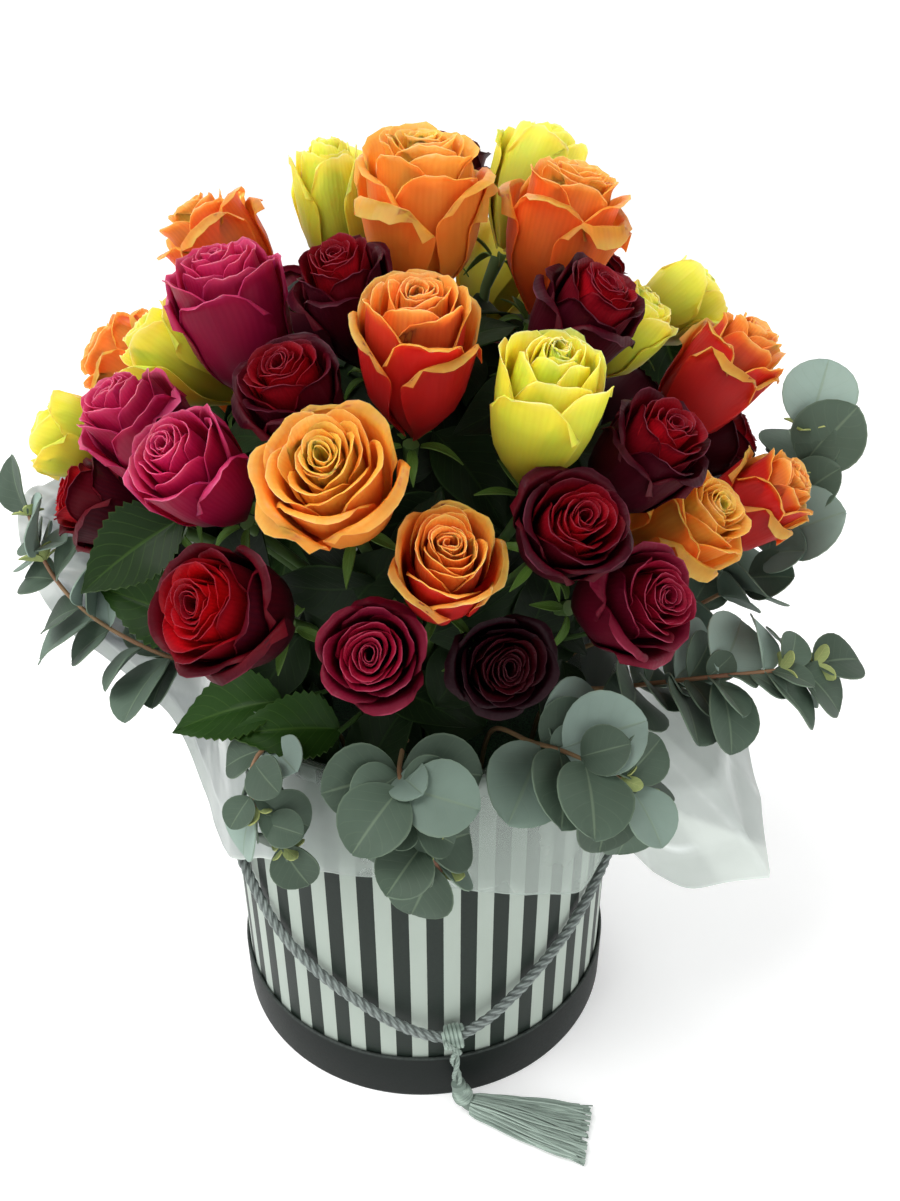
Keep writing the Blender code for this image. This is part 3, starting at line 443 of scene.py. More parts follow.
# %% The two knots
def overhand(middle, size, side, count=60):
    """A trefoil line squeezed into a box: (sin t + 2 sin 2t, cos t - 2 cos 2t, -sin 3t)."""
    t = np.linspace(0.25, 2 * math.pi - 0.15, count)
    line = np.stack([-np.sin(3 * t) * side, np.sin(t) + 2 * np.sin(2 * t), np.cos(t) - 2 * np.cos(2 * t)], -1)
    return line / (1.0, 3.0, 3.0) * size + middle


KNOT_SIZE = np.array([1.5, 3.9, 3.4]) * MM
KNOT_THICK, KNOT_LAY, KNOT_SIDES = 3.6 * MM, 12 * MM, 12
for node, side in (("cord_knot_left", -1), ("cord_knot_right", 1)):
    low, high = (np.array(corner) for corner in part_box(node))
    tied = overhand((low + high) / 2, KNOT_SIZE, side)
    knot = rope(tied, KNOT_THICK, KNOT_SIDES, 1 / KNOT_LAY, np.array([1.0, 0.1, 0.05]))
    make_piece(node + "_tied", [knot], cord_finish, [node])
print("knots tied")

# %% The tassel
TASSEL_STATIONS = (
    (16.1, -102.2, 36.0, 2.8, 1.9), (16.6, -102.4, 27.0, 2.8, 1.9),
    (17.8, -102.8, 18.0, 3.0, 2.2), (18.8, -103.4, 13.0, 4.6, 4.3), (20.6, -104.2, 8.5, 5.2, 4.9),
    (24.0, -105.4, 6.0, 4.6, 4.3), (28.0, -106.4, 5.6, 6.2, 5.0), (39.0, -109.2, 5.2, 8.6, 4.8),
    (52.0, -112.6, 4.6, 11.2, 4.2), (65.0, -116.0, 3.8, 13.6, 3.4), (78.0, -119.4, 3.0, 15.6, 2.6),
)
SKIRT_THREADS, SKIRT_POINTS = 230, 13
STRAND_THICK, STRAND_LAY, STRAND_SIDES = 2.4 * MM, 7 * MM, 9
COLLAR_RADII = np.array([4.2, 4.9, 5.0, 4.9, 4.2]) * MM
BINDING_RADII = np.array([2.6, 4.0, 4.2, 3.2]) * MM
tassel_rows = np.array(TASSEL_STATIONS) * MM
random = np.random.default_rng(7)


def skirt_threads():
    """Threads from the bound neck to the tips. Each keeps its own share of the skirt's width and
    thickness, waves a little, and ends at its own length."""
    spine = smooth_path(tassel_rows[5:], 6)
    share = np.linspace(0, 1, SKIRT_POINTS)
    reach = (1 - 0.16 * random.uniform(0, 1, SKIRT_THREADS) ** 2)[:, None] * share
    row = reach * (len(spine) - 1)
    rows = np.stack([np.interp(row, np.arange(len(spine)), spine[:, k]) for k in range(5)], -1)
    swing = random.uniform(-1, 1, SKIRT_THREADS)
    lift = random.uniform(-1, 1, SKIRT_THREADS) * np.sqrt(1 - 0.9 * swing**2)
    phase = random.uniform(0, 6.28, (2, SKIRT_THREADS))
    wave = np.sin(9 * share + phase[0][:, None]) * 0.9 * MM * share
    side = unit(np.array([0.25, 1.0, 0.0]))
    paths = rows[..., :3] + side * ((swing[:, None] * rows[..., 3] * 0.96 + wave)[..., None])
    rise = lift[:, None] * (rows[..., 4] - 0.5 * MM) + np.sin(7 * share + phase[1][:, None]) * 0.2 * MM
    paths[..., 2] = np.maximum(paths[..., 2] + rise, 0.5 * MM)
    colour = np.zeros((SKIRT_THREADS, SKIRT_POINTS, 4))
    colour[..., 2] = random.uniform(0, 1, SKIRT_THREADS)[:, None]
    return tubes(paths, 0.42 * MM, 4, np.array([0.0, 0.1, 1.0]), colour)


def wound(middle, axis, radii, height, turns, thread, count):
    """A thread wound round an axis: a helix of `turns` turns whose radius follows `radii` from its
    foot to its top."""
    t = np.linspace(0, 1, count)
    angle = t * turns * 2 * math.pi
    axis = unit(axis)
    side = unit(np.cross(axis, (0.3, 0.9, 0.1)))
    other = np.cross(axis, side)
    radius = np.interp(t, np.linspace(0, 1, len(radii)), radii)
    ring = np.cos(angle)[:, None] * side + np.sin(angle)[:, None] * other
    line = middle + ring * radius[:, None] + axis * ((t - 0.5) * height)[:, None]
    colour = np.zeros((1, count, 4))
    colour[..., 1] = t * 0.06
    colour[..., 2] = 0.5
    return tubes(line[None], thread, 6, axis + 0.01, colour)


lowest = polar(9, 102 * MM, 48 * MM)
low_index = int(np.argmin(np.linalg.norm(cord_line - lowest, axis=1)))
low_point = cord_line[low_index]
low_ahead = unit(cord_line[low_index + 3] - cord_line[low_index - 3])
across = np.array([1.0, 0.2, 0.0])
strand_line = smooth_path(np.vstack([low_point - (0, 0, 4 * MM), tassel_rows[:4, :3]]), 8)
twist = np.linspace(0, 3.2 * math.pi, len(strand_line))[:, None]
strand_side, strand_up = frames_along(strand_line, across)
strand_shift = (strand_side * np.cos(twist) + strand_up * np.sin(twist)) * 1.25 * MM
over = np.array([(-4, -5.2, 3), (0, -6.0, 0), (3, -5.4, -4), (1, -3.4, -6.4)]) * MM
crossing = smooth_path(low_point + over, 6)
head_axis = tassel_rows[4, :3] - tassel_rows[3, :3]
head_middle = tassel_rows[3:5, :3].mean(axis=0) + (0, 0, 0.6 * MM)
tassel_parts = [
    skirt_threads(),
    rope(strand_line - strand_shift, STRAND_THICK, STRAND_SIDES, 1 / STRAND_LAY, across),
    rope(strand_line + strand_shift, STRAND_THICK, STRAND_SIDES, 1 / STRAND_LAY, across),
    wound(low_point, low_ahead, COLLAR_RADII, 9 * MM, 5, 0.95 * MM, 120),
    rope(crossing, 2.2 * MM, STRAND_SIDES, 1 / STRAND_LAY, across),
    wound(head_middle, head_axis, BINDING_RADII, 7.5 * MM, 6, 0.8 * MM, 130),
    tubes(smooth_path(tassel_rows[2:7, :3], 4)[None], 3.4 * MM, 10, np.array([0.2, 1.0, 0.0])),
]
tassel_finish = thread_finish("tassel_threads", (74, 88, 80), (176, 194, 182), 0.6)
tassel_piece = make_piece("tassel_threads", tassel_parts, tassel_finish, ["tassel"])
print("tassel threads", SKIRT_THREADS, "faces", len(tassel_piece.data.polygons))

# %% [markdown]
# ## The card box and its lid
# Both are wrapped card, turned shapes with soft edges where the paper folds over the rim. The
# stripes are printed upright round the wall, so they depend on the azimuth alone: 40 dark bands
# and 40 pale ones, each 4.5 degrees wide.

# %% Paper finishes
BOX_RADIUS, BOX_RIM, BOX_CARD = 95 * MM, 190 * MM, 2 * MM
LID_RADIUS, LID_HEIGHT, LID_FLOOR, GAP = 97 * MM, 26.5 * MM, 2 * MM, 0.35 * MM
CARD_SIDES, CARD_FOLD = 200, 0.8 * MM
HOLE_RADIUS, HOLE_HEIGHT = 4.2 * MM, 150 * MM
STRIPE_PAIRS, STRIPE_START = 40, -24.7


def striped_paper():
    """Pale and dark stripes by azimuth, with a paper grain, slight print wear and a faint gloss."""
    paint = Paint("striped_paper", Coat_Weight=0.05, Coat_Roughness=0.35, Specular_IOR_Level=0.2)
    x, y, _ = paint.split(paint.place())
    azimuth = x.of("ARCTAN2", y * -1.0)
    wave = ((azimuth - math.radians(STRIPE_START)) * STRIPE_PAIRS).of("SINE")
    grain = paint.noise(900, 3)
    dark = (wave + (grain - 0.5) * 0.06).rise(-0.035, 0.035)
    pale_tone = paint.mix(paint.noise(14, 2), rgb(168, 179, 170), rgb(157, 168, 158))
    dark_tone = paint.mix(grain, rgb(20, 28, 24), rgb(36, 46, 40))
    inside = (x * x + y * y).of("SQRT").rise(BOX_RADIUS - 1.3 * MM, BOX_RADIUS - 0.9 * MM)
    colour = paint.mix(dark, pale_tone, dark_tone)
    colour = paint.mix(inside, rgb(214, 214, 206), colour)
    height = grain * 0.6 + paint.noise(60, 2) * 0.4
    return paint.finish(colour, 0.42 + grain * 0.16 + dark * 0.05, height, 0.12 * MM, 0.5)


def dark_paper():
    """Charcoal wrapping paper: a fine grain, rubbed a little paler along the edges."""
    paint = Paint("charcoal_paper", Coat_Weight=0.04, Coat_Roughness=0.4, Specular_IOR_Level=0.15)
    _, _, z = paint.split(paint.place())
    grain = paint.noise(700, 4)
    rubbed = z.rise(LID_HEIGHT - 1.2 * MM, LID_HEIGHT) + 1.0 - z.rise(0.2 * MM, 1.6 * MM)
    tone = paint.mix(grain, rgb(9, 15, 13), rgb(20, 27, 24))
    tone = paint.mix(rubbed * grain * 0.5, tone, rgb(104, 112, 108))
    return paint.finish(tone, 0.46 + grain * 0.2, grain, 0.1 * MM, 0.6)


def rounded(corners, radius, steps=4):
    """A profile with each inner corner replaced by an arc: points slide from one side to the other."""
    corners = np.asarray(corners, float)
    out = [corners[:1]]
    for before, corner, after in zip(corners[:-2], corners[1:-1], corners[2:]):
        t = np.linspace(0, 1, steps)[:, None]
        first = corner + unit(before - corner) * min(radius, 0.45 * np.linalg.norm(before - corner))
        last = corner + unit(after - corner) * min(radius, 0.45 * np.linalg.norm(after - corner))
        out.append((1 - t) ** 2 * first + 2 * t * (1 - t) * corner + t**2 * last)
    return np.concatenate(out + [corners[-1:]])


def drilled(piece, cutters):
    """Cuts holes with a Boolean, keeps the result as the piece's mesh, and drops the cutters."""
    for cutter in cutters:
        hole = piece.modifiers.new("hole", "BOOLEAN")
        hole.operation, hole.solver, hole.object = "DIFFERENCE", "EXACT", cutter
    bpy.context.view_layer.update()
    done = bpy.data.meshes.new_from_object(piece.evaluated_get(bpy.context.evaluated_depsgraph_get()))
    piece.modifiers.clear()
    piece.data = done
    for cutter in cutters:
        bpy.data.objects.remove(cutter, do_unlink=True)


# %% The lid, the box and its holes
inner = BOX_RADIUS + GAP
lid_corners = (
    (0, 0), (LID_RADIUS, 0), (LID_RADIUS, LID_HEIGHT), (inner, LID_HEIGHT),
    (inner, LID_FLOOR), (0, LID_FLOOR),
)
lid_part = lathe(rounded(lid_corners, CARD_FOLD), CARD_SIDES)
make_piece("lid_tray", [lid_part], dark_paper(), ["base_lid"], 60)
floor_low = LID_FLOOR + GAP
wall = BOX_RADIUS - BOX_CARD
box_corners = (
    (0, floor_low), (BOX_RADIUS, floor_low), (BOX_RADIUS, BOX_RIM), (wall, BOX_RIM),
    (wall, floor_low + BOX_CARD), (0, floor_low + BOX_CARD),
)
box_part = lathe(rounded(box_corners, CARD_FOLD), CARD_SIDES)
box_piece = make_piece("striped_box", [box_part], striped_paper(), ["hat_box"], 60)
hole_cutters = []
for side in (-1, 1):
    bpy.ops.mesh.primitive_cylinder_add(
        vertices=32, radius=HOLE_RADIUS, depth=14 * MM,
        location=(side * BOX_RADIUS, 0, HOLE_HEIGHT), rotation=(0, math.pi / 2, 0),
    )
    hole_cutters.append(bpy.context.active_object)
drilled(box_piece, hole_cutters)
print("box faces", len(box_piece.data.polygons))

# %% [markdown]
# ## The foam
# Wet flower foam is a dense green block of tiny bubbles. It hardly shows, so the CAD solid stays
# and only gets its finish: fine pits, darker at the bottom of each pit as painted shade, and a
# roughness that changes in patches.

# %% Wet foam
foam = Paint("wet_foam_pits")
pits = foam.add("ShaderNodeTexVoronoi", {}, {"Vector": foam.place(), "Scale": 900.0})
# Painted shade: the colour darkens towards the bottom of each pit.
foam_pit_shade_tone = foam.mix(pits * 1.4, rgb(16, 34, 20), rgb(44, 84, 50))
foam_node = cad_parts["floral_foam"]
foam_node.data.materials.clear()
foam_node.data.materials.append(foam.finish(foam_pit_shade_tone, 0.95 - foam.noise(40) * 0.3, pits, 0.4 * MM, 0.8))
print("foam finished")

# %% [markdown]
# ## The film
# A square of frosted film lines the box, comes out over the rim and hangs down as a loose skirt
# that folds out into two wings. Its hem is a table of points all round; a smooth closed curve goes
# through them, and every column of the sheet runs from the floor of the pouch to its own hem point.

# %% The film's surface
FILM_PROFILE = ((82, 5.3), (84, 160), (91.4, 191), (95.6, 192.6))
FILM_RIM = (98.2, 191)
FILM_HALF = 0.15 * MM
# Azimuths of the left wing's middle, of the right flap's two ends and of its corner
LEFT_WING, FLAP_FROM, FLAP_TO, FLAP_CORNER = -88, 50, 96, 61.5
FILM_HEM = (
    (-180, 124, 170), (-168, 142, 178), (-158, 164, 190), (-148, 152, 194), (-136, 148, 202),
    (-124, 156, 226), (-112, 178, 252), (-102, 190, 262), (-96, 184, 254), (-90, 164, 236),
    (-85, 138, 214), (-80, 116, 184), (-75, 107, 142), (-68, 104.5, 117), (-60, 103.5, 113),
    (-52, 102, 120), (-44, 99.6, 129), (-34, 98.6, 136), (-22, 98.6, 140), (-8, 98.6, 142),
    (4, 98.6, 139), (16, 98.6, 132), (28, 98.8, 123), (38, 99.6, 114), (47, 102.4, 106),
    (54, 108, 103), (59, 124, 106), (63, 150, 111), (66, 172, 116), (71, 166, 134),
    (80, 156, 158), (92, 148, 172), (108, 136, 176), (126, 138, 176), (142, 156, 180),
    (156, 140, 174),
)


def film_rows(hem, steps, pleat=0.0):
    """(rows, columns, 3): the pouch's wall, then the skirt from the rim to the hem, which swells by
    sin(pi s) in the middle where the film stands far out. `pleat` adds to the distance."""
    hem = np.asarray(hem, float)
    azimuth, hem_out, hem_up = hem.T
    rows = [polar(azimuth, out * MM, up * MM + azimuth * 0) for out, up in FILM_PROFILE]
    flare = np.maximum(0.0, (hem_out - 104) / 90)
    for step in steps:
        swell = flare * math.sin(math.pi * step)
        out = FILM_RIM[0] + (hem_out - FILM_RIM[0]) * step + 8 * swell
        out = out + pleat * step * np.minimum(1, 4 * flare)
        up = FILM_RIM[1] + (hem_up - FILM_RIM[1]) * step + 10 * swell
        rows.append(polar(azimuth, out * MM, up * MM))
    return np.stack(rows)


def closed_hem(steps):
    """The hem's table as a smooth closed curve."""
    table = np.array(FILM_HEM, float)
    before, after = table[-2:] - (360, 0, 0), table[:3] + (360, 0, 0)
    curve = smooth_path(np.concatenate([before, table, after]), steps)
    return curve[2 * steps : (2 + len(table)) * steps]


def film_finish():
    """Frosted film: milky, a little see-through, denser where it lies double along its creases and
    paler where a fold faces the light, which is painted light and shade. The creases and the glint
    lines are painted pale as a highlight. The paint is (along, crease, wing, fold's tone)."""
    paint = Paint("frosted_film_skin", Coat_Weight=0.4, Coat_Roughness=0.16, IOR=1.4)
    along, crease, wing, tone = paint.painted()
    mist = paint.noise(30, 3)
    front = paint.mix(mist, rgb(164, 177, 168), rgb(184, 196, 188))
    # Painted light and shade: each fold's tone runs from a dark to a pale colour by how it faces the light.
    folds = paint.mix((tone + (mist - 0.5) * 0.25).rise(0.0, 1.0), rgb(100, 108, 110), rgb(214, 222, 216))
    skin = paint.mix(wing.of("MAXIMUM", tone), front, folds)
    # Painted highlight: the creases and the glint lines are painted pale.
    skin = paint.mix((crease * 0.8).of("MINIMUM", 1.0), skin, rgb(226, 232, 230))
    paint.feed("Alpha", 0.35 + mist * 0.12 + crease * 0.3 + along.rise(0.985, 1.0) * 0.25 + wing * 0.45)
    return paint.finish(skin, 0.30 + mist * 0.16, paint.noise(110, 2) * 0.5 + crease * 0.5, 0.8 * MM, 0.35)


def hung_hem(curve):
    """The hem as so light a film hangs: low and wide on the left wing, drawn up where the right flap
    leaves the box, and cut straight with sharp corners on that flap, where it bends least."""
    azimuth, out, up = curve.T
    left, drawn_up = bump(azimuth, LEFT_WING, 11), bump(azimuth, 54, 4.6)
    corner = bump(azimuth, FLAP_CORNER, 1.8)
    table = np.array(FILM_HEM, float)
    straight = ramp(azimuth, FLAP_FROM, 5) * ramp(azimuth, FLAP_TO, -8)
    out = out + straight * (np.interp(azimuth, table[:, 0], table[:, 1]) - out)
    up = up + straight * (np.interp(azimuth, table[:, 0], table[:, 2]) - up)
    return np.stack([azimuth, out + 7 * left, up - 22 * left + 27 * drawn_up - 5 * corner], -1)


FILM_STEPS = np.concatenate([[0.03, 0.07], np.linspace(0.12, 1.0, 26)])
hem_curve = hung_hem(closed_hem(9))
film_grid = film_rows(hem_curve, FILM_STEPS)
skirt_share = np.concatenate([np.zeros(len(FILM_PROFILE)), FILM_STEPS])
print("film grid", film_grid.shape)

# %% Folds, and the film as one sheet
# Two creases across the flap's corner: share of the skirt, slope by azimuth, height in mm
CORNER_CREASES = ((0.52, 0.012, 3.5), (0.78, -0.016, -3.0))


def folded_film():
    """The skirt moved along its normals by waves that run from the rim to the hem: broad folds on
    the wings, fine gathers at the front, and a sharp crease where two folds meet. It lies double, so
    denser, on the wings and on the left of the front."""
    azimuth, skirt = hem_curve[None, :, 0], skirt_share[:, None]
    turn = np.radians(azimuth)
    wing = ramp(hem_curve[None, :, 1], 103, 50)
    broad = np.sin(11 * turn + 1.7 * np.sin(2 * turn) + 1.2 * skirt)
    narrow = np.sin(29 * turn + 2.0 * np.sin(3 * turn) - 1.5 * skirt)
    fine = np.sin(63 * turn + 2.5 * skirt)
    ridge = 1 - 2 * np.abs(narrow) ** 0.7
    flap = ramp(azimuth, FLAP_FROM, 6) * ramp(azimuth, 120, -20)
    waves = wing * (1 - 0.75 * flap) * (4.2 * broad + 2.4 * ridge)
    shift = skirt * (waves + (1 - wing) * (0.35 * broad + 0.25 * narrow))
    shift = shift + 0.12 * fine * np.minimum(1, 8 * skirt)
    for line, slope, height in CORNER_CREASES:
        off = np.abs(skirt - line - slope * (azimuth - 67))
        shift = shift + wing * bump(azimuth, 67, 16) * height * np.exp(-off / 0.09)
    normal = ring_normals(film_grid)
    normal = normal * np.sign((normal * unit(film_grid * (1, 1, 0))).sum(-1, keepdims=True) + 1e-9)
    moved = film_grid + normal * shift[..., None] * MM
    crease = np.clip(ridge, 0, 1) ** 3 * wing * skirt * 0.5
    veil = 0.75 * ramp(azimuth, -12, -30) * (azimuth > -110)
    return moved, crease, np.maximum(wing, veil) * np.minimum(1, skirt * 3)


def fold_tones(azimuth, skirt):
    """How pale each fold of the two wings is, as painted light and shade, with sharp lines between
    them, and the bright creases as painted highlights: bands that run with the hem on the left, and
    three facets of a turned-over corner on the right, each painted as lit as it faces the light.
    Near the hem at the front left, a painted sheen makes the film paler."""
    left = bump(azimuth, LEFT_WING, 26, 6)
    edge = skirt - 0.80 + 0.004 * (azimuth - LEFT_WING)
    streak = np.clip(np.sin(0.55 * azimuth + 5 * skirt) * 2.5, 0, 1) * np.clip(skirt * 2, 0, 1)
    upper = np.clip((azimuth - 62 - 16 * (skirt - 0.6)) / 0.8, 0, 1)
    tip = (1 - upper) * np.clip((azimuth - 62.5 - 4 * (skirt - 0.8)) / 0.6, 0, 1)
    # Painted light and shade on the left wing: pale bands along the hem and pale streaks on the folds.
    tone = left * (0.12 + 0.42 * np.maximum(ramp(edge, 0, 0.03), 0.6 * streak))
    # Painted light and shade on the flap's corner: its upper facet darker, the lower one paler, the tip
    # palest.
    facets = 0.60 * upper + 0.74 * (1 - upper) + 0.24 * tip
    tone = tone + ramp(azimuth, FLAP_FROM, 6) * ramp(azimuth, 130, -20) * facets
    # Painted sheen near the hem at the front left.
    front = 0.7 * bump(azimuth, -38, 26, 4) * ramp(skirt, 0.90, 0.1)
    double = 0.40 * ramp(azimuth, -12, -30) * ramp(azimuth, -78, 16)
    rear = 0.6 * ramp(np.abs(azimuth), 106, 12)
    # Painted highlight: a thin glint line along the flap's crease.
    glint = bump(skirt, 0.79, 0.022) * ramp(azimuth, 55, 1.5) * ramp(azimuth, 63, -1.5)
    # The second result is painted highlight: a thin line along the left wing's hem band, and the glint.
    return np.max([tone, front, double, rear], 0), np.maximum(0.5 * bump(edge, 0, 0.02) * left, glint)


def film_faces(middle):
    """The film's two faces, the strip along its hem and the round floor of the pouch. The columns
    run clockwise, so every face is turned over: (points, faces)."""
    rows, columns = middle.shape[:2]
    size, half, foot = rows * columns, ring_normals(middle) * FILM_HALF, FILM_PROFILE[0][1] * MM
    ends = [[0, 0, foot - FILM_HALF], [0, 0, foot + FILM_HALF]]
    points = np.concatenate([(middle + half).reshape(-1, 3), (middle - half).reshape(-1, 3), ends])
    quads, ring = grid_quads(rows, columns, wrap=True), np.arange(columns)
    hem = ring + size - columns
    strip = np.stack([hem, np.roll(hem, -1), np.roll(hem, -1) + size, hem + size], -1)
    blocks = (quads, quads[:, ::-1] + size, strip, *pole_fans(ring, ring + size, 2 * size))
    return points, tuple(block[:, ::-1] for block in blocks)


film_moved, film_crease, film_wing = folded_film()
share, azimuth = np.meshgrid(skirt_share, hem_curve[:, 0], indexing="ij")
film_tone, film_glint = fold_tones(azimuth, share)
film_colour = np.stack([share, np.maximum(film_crease, film_glint), film_wing, film_tone], -1).reshape(-1, 4)
film_part = (*film_faces(film_moved), np.concatenate([film_colour, film_colour, np.zeros((2, 4))]))
film_object = make_piece("frosted_film", [film_part], film_finish(), ["film_wrap"], 75)
sheet_area = sum(face.area for face in film_object.data.polygons) / 2
print("film area", round(sheet_area, 4), "m2")

# %% [markdown]
# ## Where the roses stand
# The heads stand on a dome. Each has a place by azimuth and angle from the top, and then the heads
# push each other apart until none overlap, as they do in a full box. The same rule set the places
# of the CAD solids, so each bloom lands on its own node.

# %% The layout of the heads
DOME_MIDDLE, DOME_RADIUS, DOME_RISE, DOME_DROP = 272 * MM, 122 * MM, 104 * MM, 60 * MM
GOLDEN_ANGLE = math.radians(137.5)
ROSES = (
    ("yellow", -124, 18, 20, 19, 6, 1.6), ("burgundy", 150, 24, 24, 22, 20, 1.1),
    ("orange", 10, 13, 14, 28, 14, 1.2), ("yellow", 126, 24, 24, 21, 30, 1.3),
    ("orange", 68, 29, 14, 24, 16, 1.25), ("burgundy", 99, 43, 8, 22, 46, 1.0),
    ("burgundy", 56, 38, 10, 22, 32, 1.1), ("yellow", 98, 50, 14, 20, 52, 1.05),
    ("yellow", 80, 46, 4, 20, 36, 1.1), ("bicolour", 84, 59, 12, 22, 36, 1.5),
    ("orange", -96, 41, 14, 23, 38, 1.1), ("magenta", -51, 36, 4, 24, 16, 1.35),
    ("burgundy", -26, 27, 4, 19, 24, 1.4), ("bicolour", 10, 45, 4, 23, 22, 1.4),
    ("yellow", 22, 53, 6, 22, 20, 1.4), ("burgundy", 44, 67, 4, 20, 38, 1.4),
    ("burgundy", 87, 79, 10, 20, 66, 1.0), ("bicolour", 74, 83, 14, 20, 50, 1.5),
    ("orange", 53, 80, 2, 23, 48, 1.2), ("burgundy", -26, 57, 0, 21, 32, 1.15),
    ("magenta", -62, 66, 4, 23, 34, 1.35), ("yellow", -87, 56, 4, 22, 50, 1.15),
    ("yellow", -86, 76, 16, 20, 66, 1.0), ("orange", -94, 67, 12, 21, 62, 1.0),
    ("burgundy", -76, 82, 12, 21, 62, 1.2), ("burgundy", -106, 54, 2, 22, 48, 1.0),
    ("magenta", -32, 70, 0, 21, 40, 1.3), ("orange", -8, 66, 8, 24, 42, 1.2),
    ("bicolour", 6, 77, 2, 20, 40, 1.45), ("burgundy", 19, 73, 2, 20, 48, 1.15),
    ("burgundy", -32, 81, 2, 26, 56, 1.1), ("crimson", -2, 88, 0, 19, 58, 1.15),
    ("burgundy", 15, 96, 0, 19, 66, 1.0), ("crimson", 41, 86, 4, 22, 62, 1.15),
    ("orange", -170, 47, 4, 26, 48, 1.1), ("magenta", 150, 62, 2, 25, 60, 1.1),
    ("burgundy", 126, 82, 2, 25, 74, 1.05), ("yellow", 158, 88, 2, 24, 76, 1.05),
    ("bicolour", -172, 80, 2, 25, 72, 1.15), ("crimson", -144, 60, 2, 25, 56, 1.05),
    ("burgundy", -144, 88, 2, 24, 76, 1.0), ("orange", -120, 80, 4, 25, 72, 1.1),
    ("yellow", 150, 40, 2, 23, 38, 1.1),
)
BODY_SHARE, BODY_DEPTH, ROSE_BASE = 0.6, 0.8, 1.3


def settle(places, axes, radii, tall):
    """Push the heads apart: two balls for each head, and each pair that is too near moves away by
    a share of what is missing, while a weak pull holds each head near its own place."""
    start, depth = places.copy(), BODY_DEPTH * radii * tall
    sizes = np.concatenate([radii, radii * BODY_SHARE])
    owner = np.concatenate([np.arange(len(places))] * 2)
    apart = sizes[:, None] + sizes[None, :] + 0.8 * MM
    same = owner[:, None] == owner[None, :]
    for number in range(400):
        balls = np.vstack([places, places - axes * depth[:, None]])
        away = balls[:, None] - balls[None, :]
        far = np.linalg.norm(away, axis=2) + 1e-9
        short = np.where(same, 0.0, np.clip(apart - far, 0.0, None))
        push = (away / far[..., None] * short[..., None] * 0.3).sum(axis=1)
        move = push[: len(places)] + push[len(places) :]
        places = places + move + ((start - places) * 0.02 if number < 280 else 0.0)
    return places


table = np.array([row[1:] for row in ROSES], float)
down, lean = np.radians(table[:, 1]), np.radians(table[:, 4])
dome_height = np.where(np.cos(down) > 0, DOME_RISE, DOME_DROP)
dome_reach = 1 / np.hypot(np.sin(down) / DOME_RADIUS, np.cos(down) / dome_height) + table[:, 2] * MM
head_axes = polar(table[:, 0], np.sin(lean), np.cos(lean))
head_radii, head_tall = table[:, 3] * MM, table[:, 5]
head_start = polar(table[:, 0], dome_reach * np.sin(down), DOME_MIDDLE + dome_reach * np.cos(down))
head_places = settle(head_start, head_axes, head_radii, head_tall)
head_names = [f"rose_{number:02d}_{row[0]}" for number, row in enumerate(ROSES, 1)]


def turn_to(axis, spin):
    """The matrix that turns Z to the axis after a spin about Z."""
    side = unit(np.cross((0.0, 1.0, 0.03), axis))
    other = np.cross(axis, side)
    turned = side * math.cos(spin) + other * math.sin(spin)
    return np.stack([turned, np.cross(axis, turned), axis], 1)


node_places = [(np.array(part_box(name)[0]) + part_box(name)[1]) / 2 for name in head_names]
farthest = np.abs(np.array(node_places) - head_places).max()
print("heads", len(ROSES), "farthest node middle from its head", round(farthest * 1000, 1), "mm")

# %% [markdown]
# ## A rose from its petals
# A garden rose is a spiral: every new petal stands 137.5 degrees on from the last. The inner ones
# are rolled tight round the heart, the middle ones make the cup, and the outer ones bend back at
# the lip, where their edges roll under and leave a point. One table holds the side view of seven
# layers, and every petal's own side view lies between two of them.

# %% The side view of the layers
# Rows: distance from the axis and height, in head radii, from the foot to the lip
LAYERS = np.array([
    [(0.02, -0.60), (0.05, -0.28), (0.085, 0.08), (0.10, 0.36), (0.095, 0.54), (0.055, 0.61)],
    [(0.03, -0.75), (0.12, -0.36), (0.175, 0.04), (0.19, 0.36), (0.185, 0.56), (0.20, 0.65)],
    [(0.05, -0.90), (0.24, -0.46), (0.31, -0.03), (0.33, 0.30), (0.33, 0.53), (0.37, 0.64)],
    [(0.07, -1.02), (0.38, -0.54), (0.47, -0.08), (0.49, 0.23), (0.495, 0.46), (0.55, 0.59)],
    [(0.09, -1.13), (0.52, -0.60), (0.63, -0.12), (0.655, 0.17), (0.67, 0.39), (0.74, 0.50)],
    [(0.10, -1.20), (0.62, -0.64), (0.755, -0.14), (0.78, 0.12), (0.82, 0.30), (0.91, 0.33)],
    [(0.11, -1.24), (0.67, -0.66), (0.82, -0.16), (0.85, 0.06), (0.905, 0.18), (1.01, 0.11)],
])
LAYER_AT = np.array([0, 0.2, 0.4, 0.6, 0.78, 0.9, 1.0])
STATION_AT = np.array([0, 0.24, 0.48, 0.70, 0.87, 1.0])
PETALS, PETAL_ROWS, PETAL_COLUMNS = 28, 11, 11


def through_stations(values, where):
    """A smooth curve through six stations, read at `where`: a cubic with the slopes of its
    neighbours, for arrays (petals, 6, 2) and (petals, rows, columns)."""
    slope = np.gradient(values, STATION_AT, axis=1)
    cell = np.clip(np.searchsorted(STATION_AT, where, side="right") - 1, 0, len(STATION_AT) - 2)
    width = (STATION_AT[cell + 1] - STATION_AT[cell])[..., None]
    t = ((where - STATION_AT[cell])[..., None]) / width
    pick = np.arange(len(values))[:, None, None]
    a, b, da, db = values[pick, cell], values[pick, cell + 1], slope[pick, cell], slope[pick, cell + 1]
    return (
        (2 * t**3 - 3 * t**2 + 1) * a + (t**3 - 2 * t**2 + t) * width * da
        + (3 * t**2 - 2 * t**3) * b + (t**3 - t**2) * width * db
    )


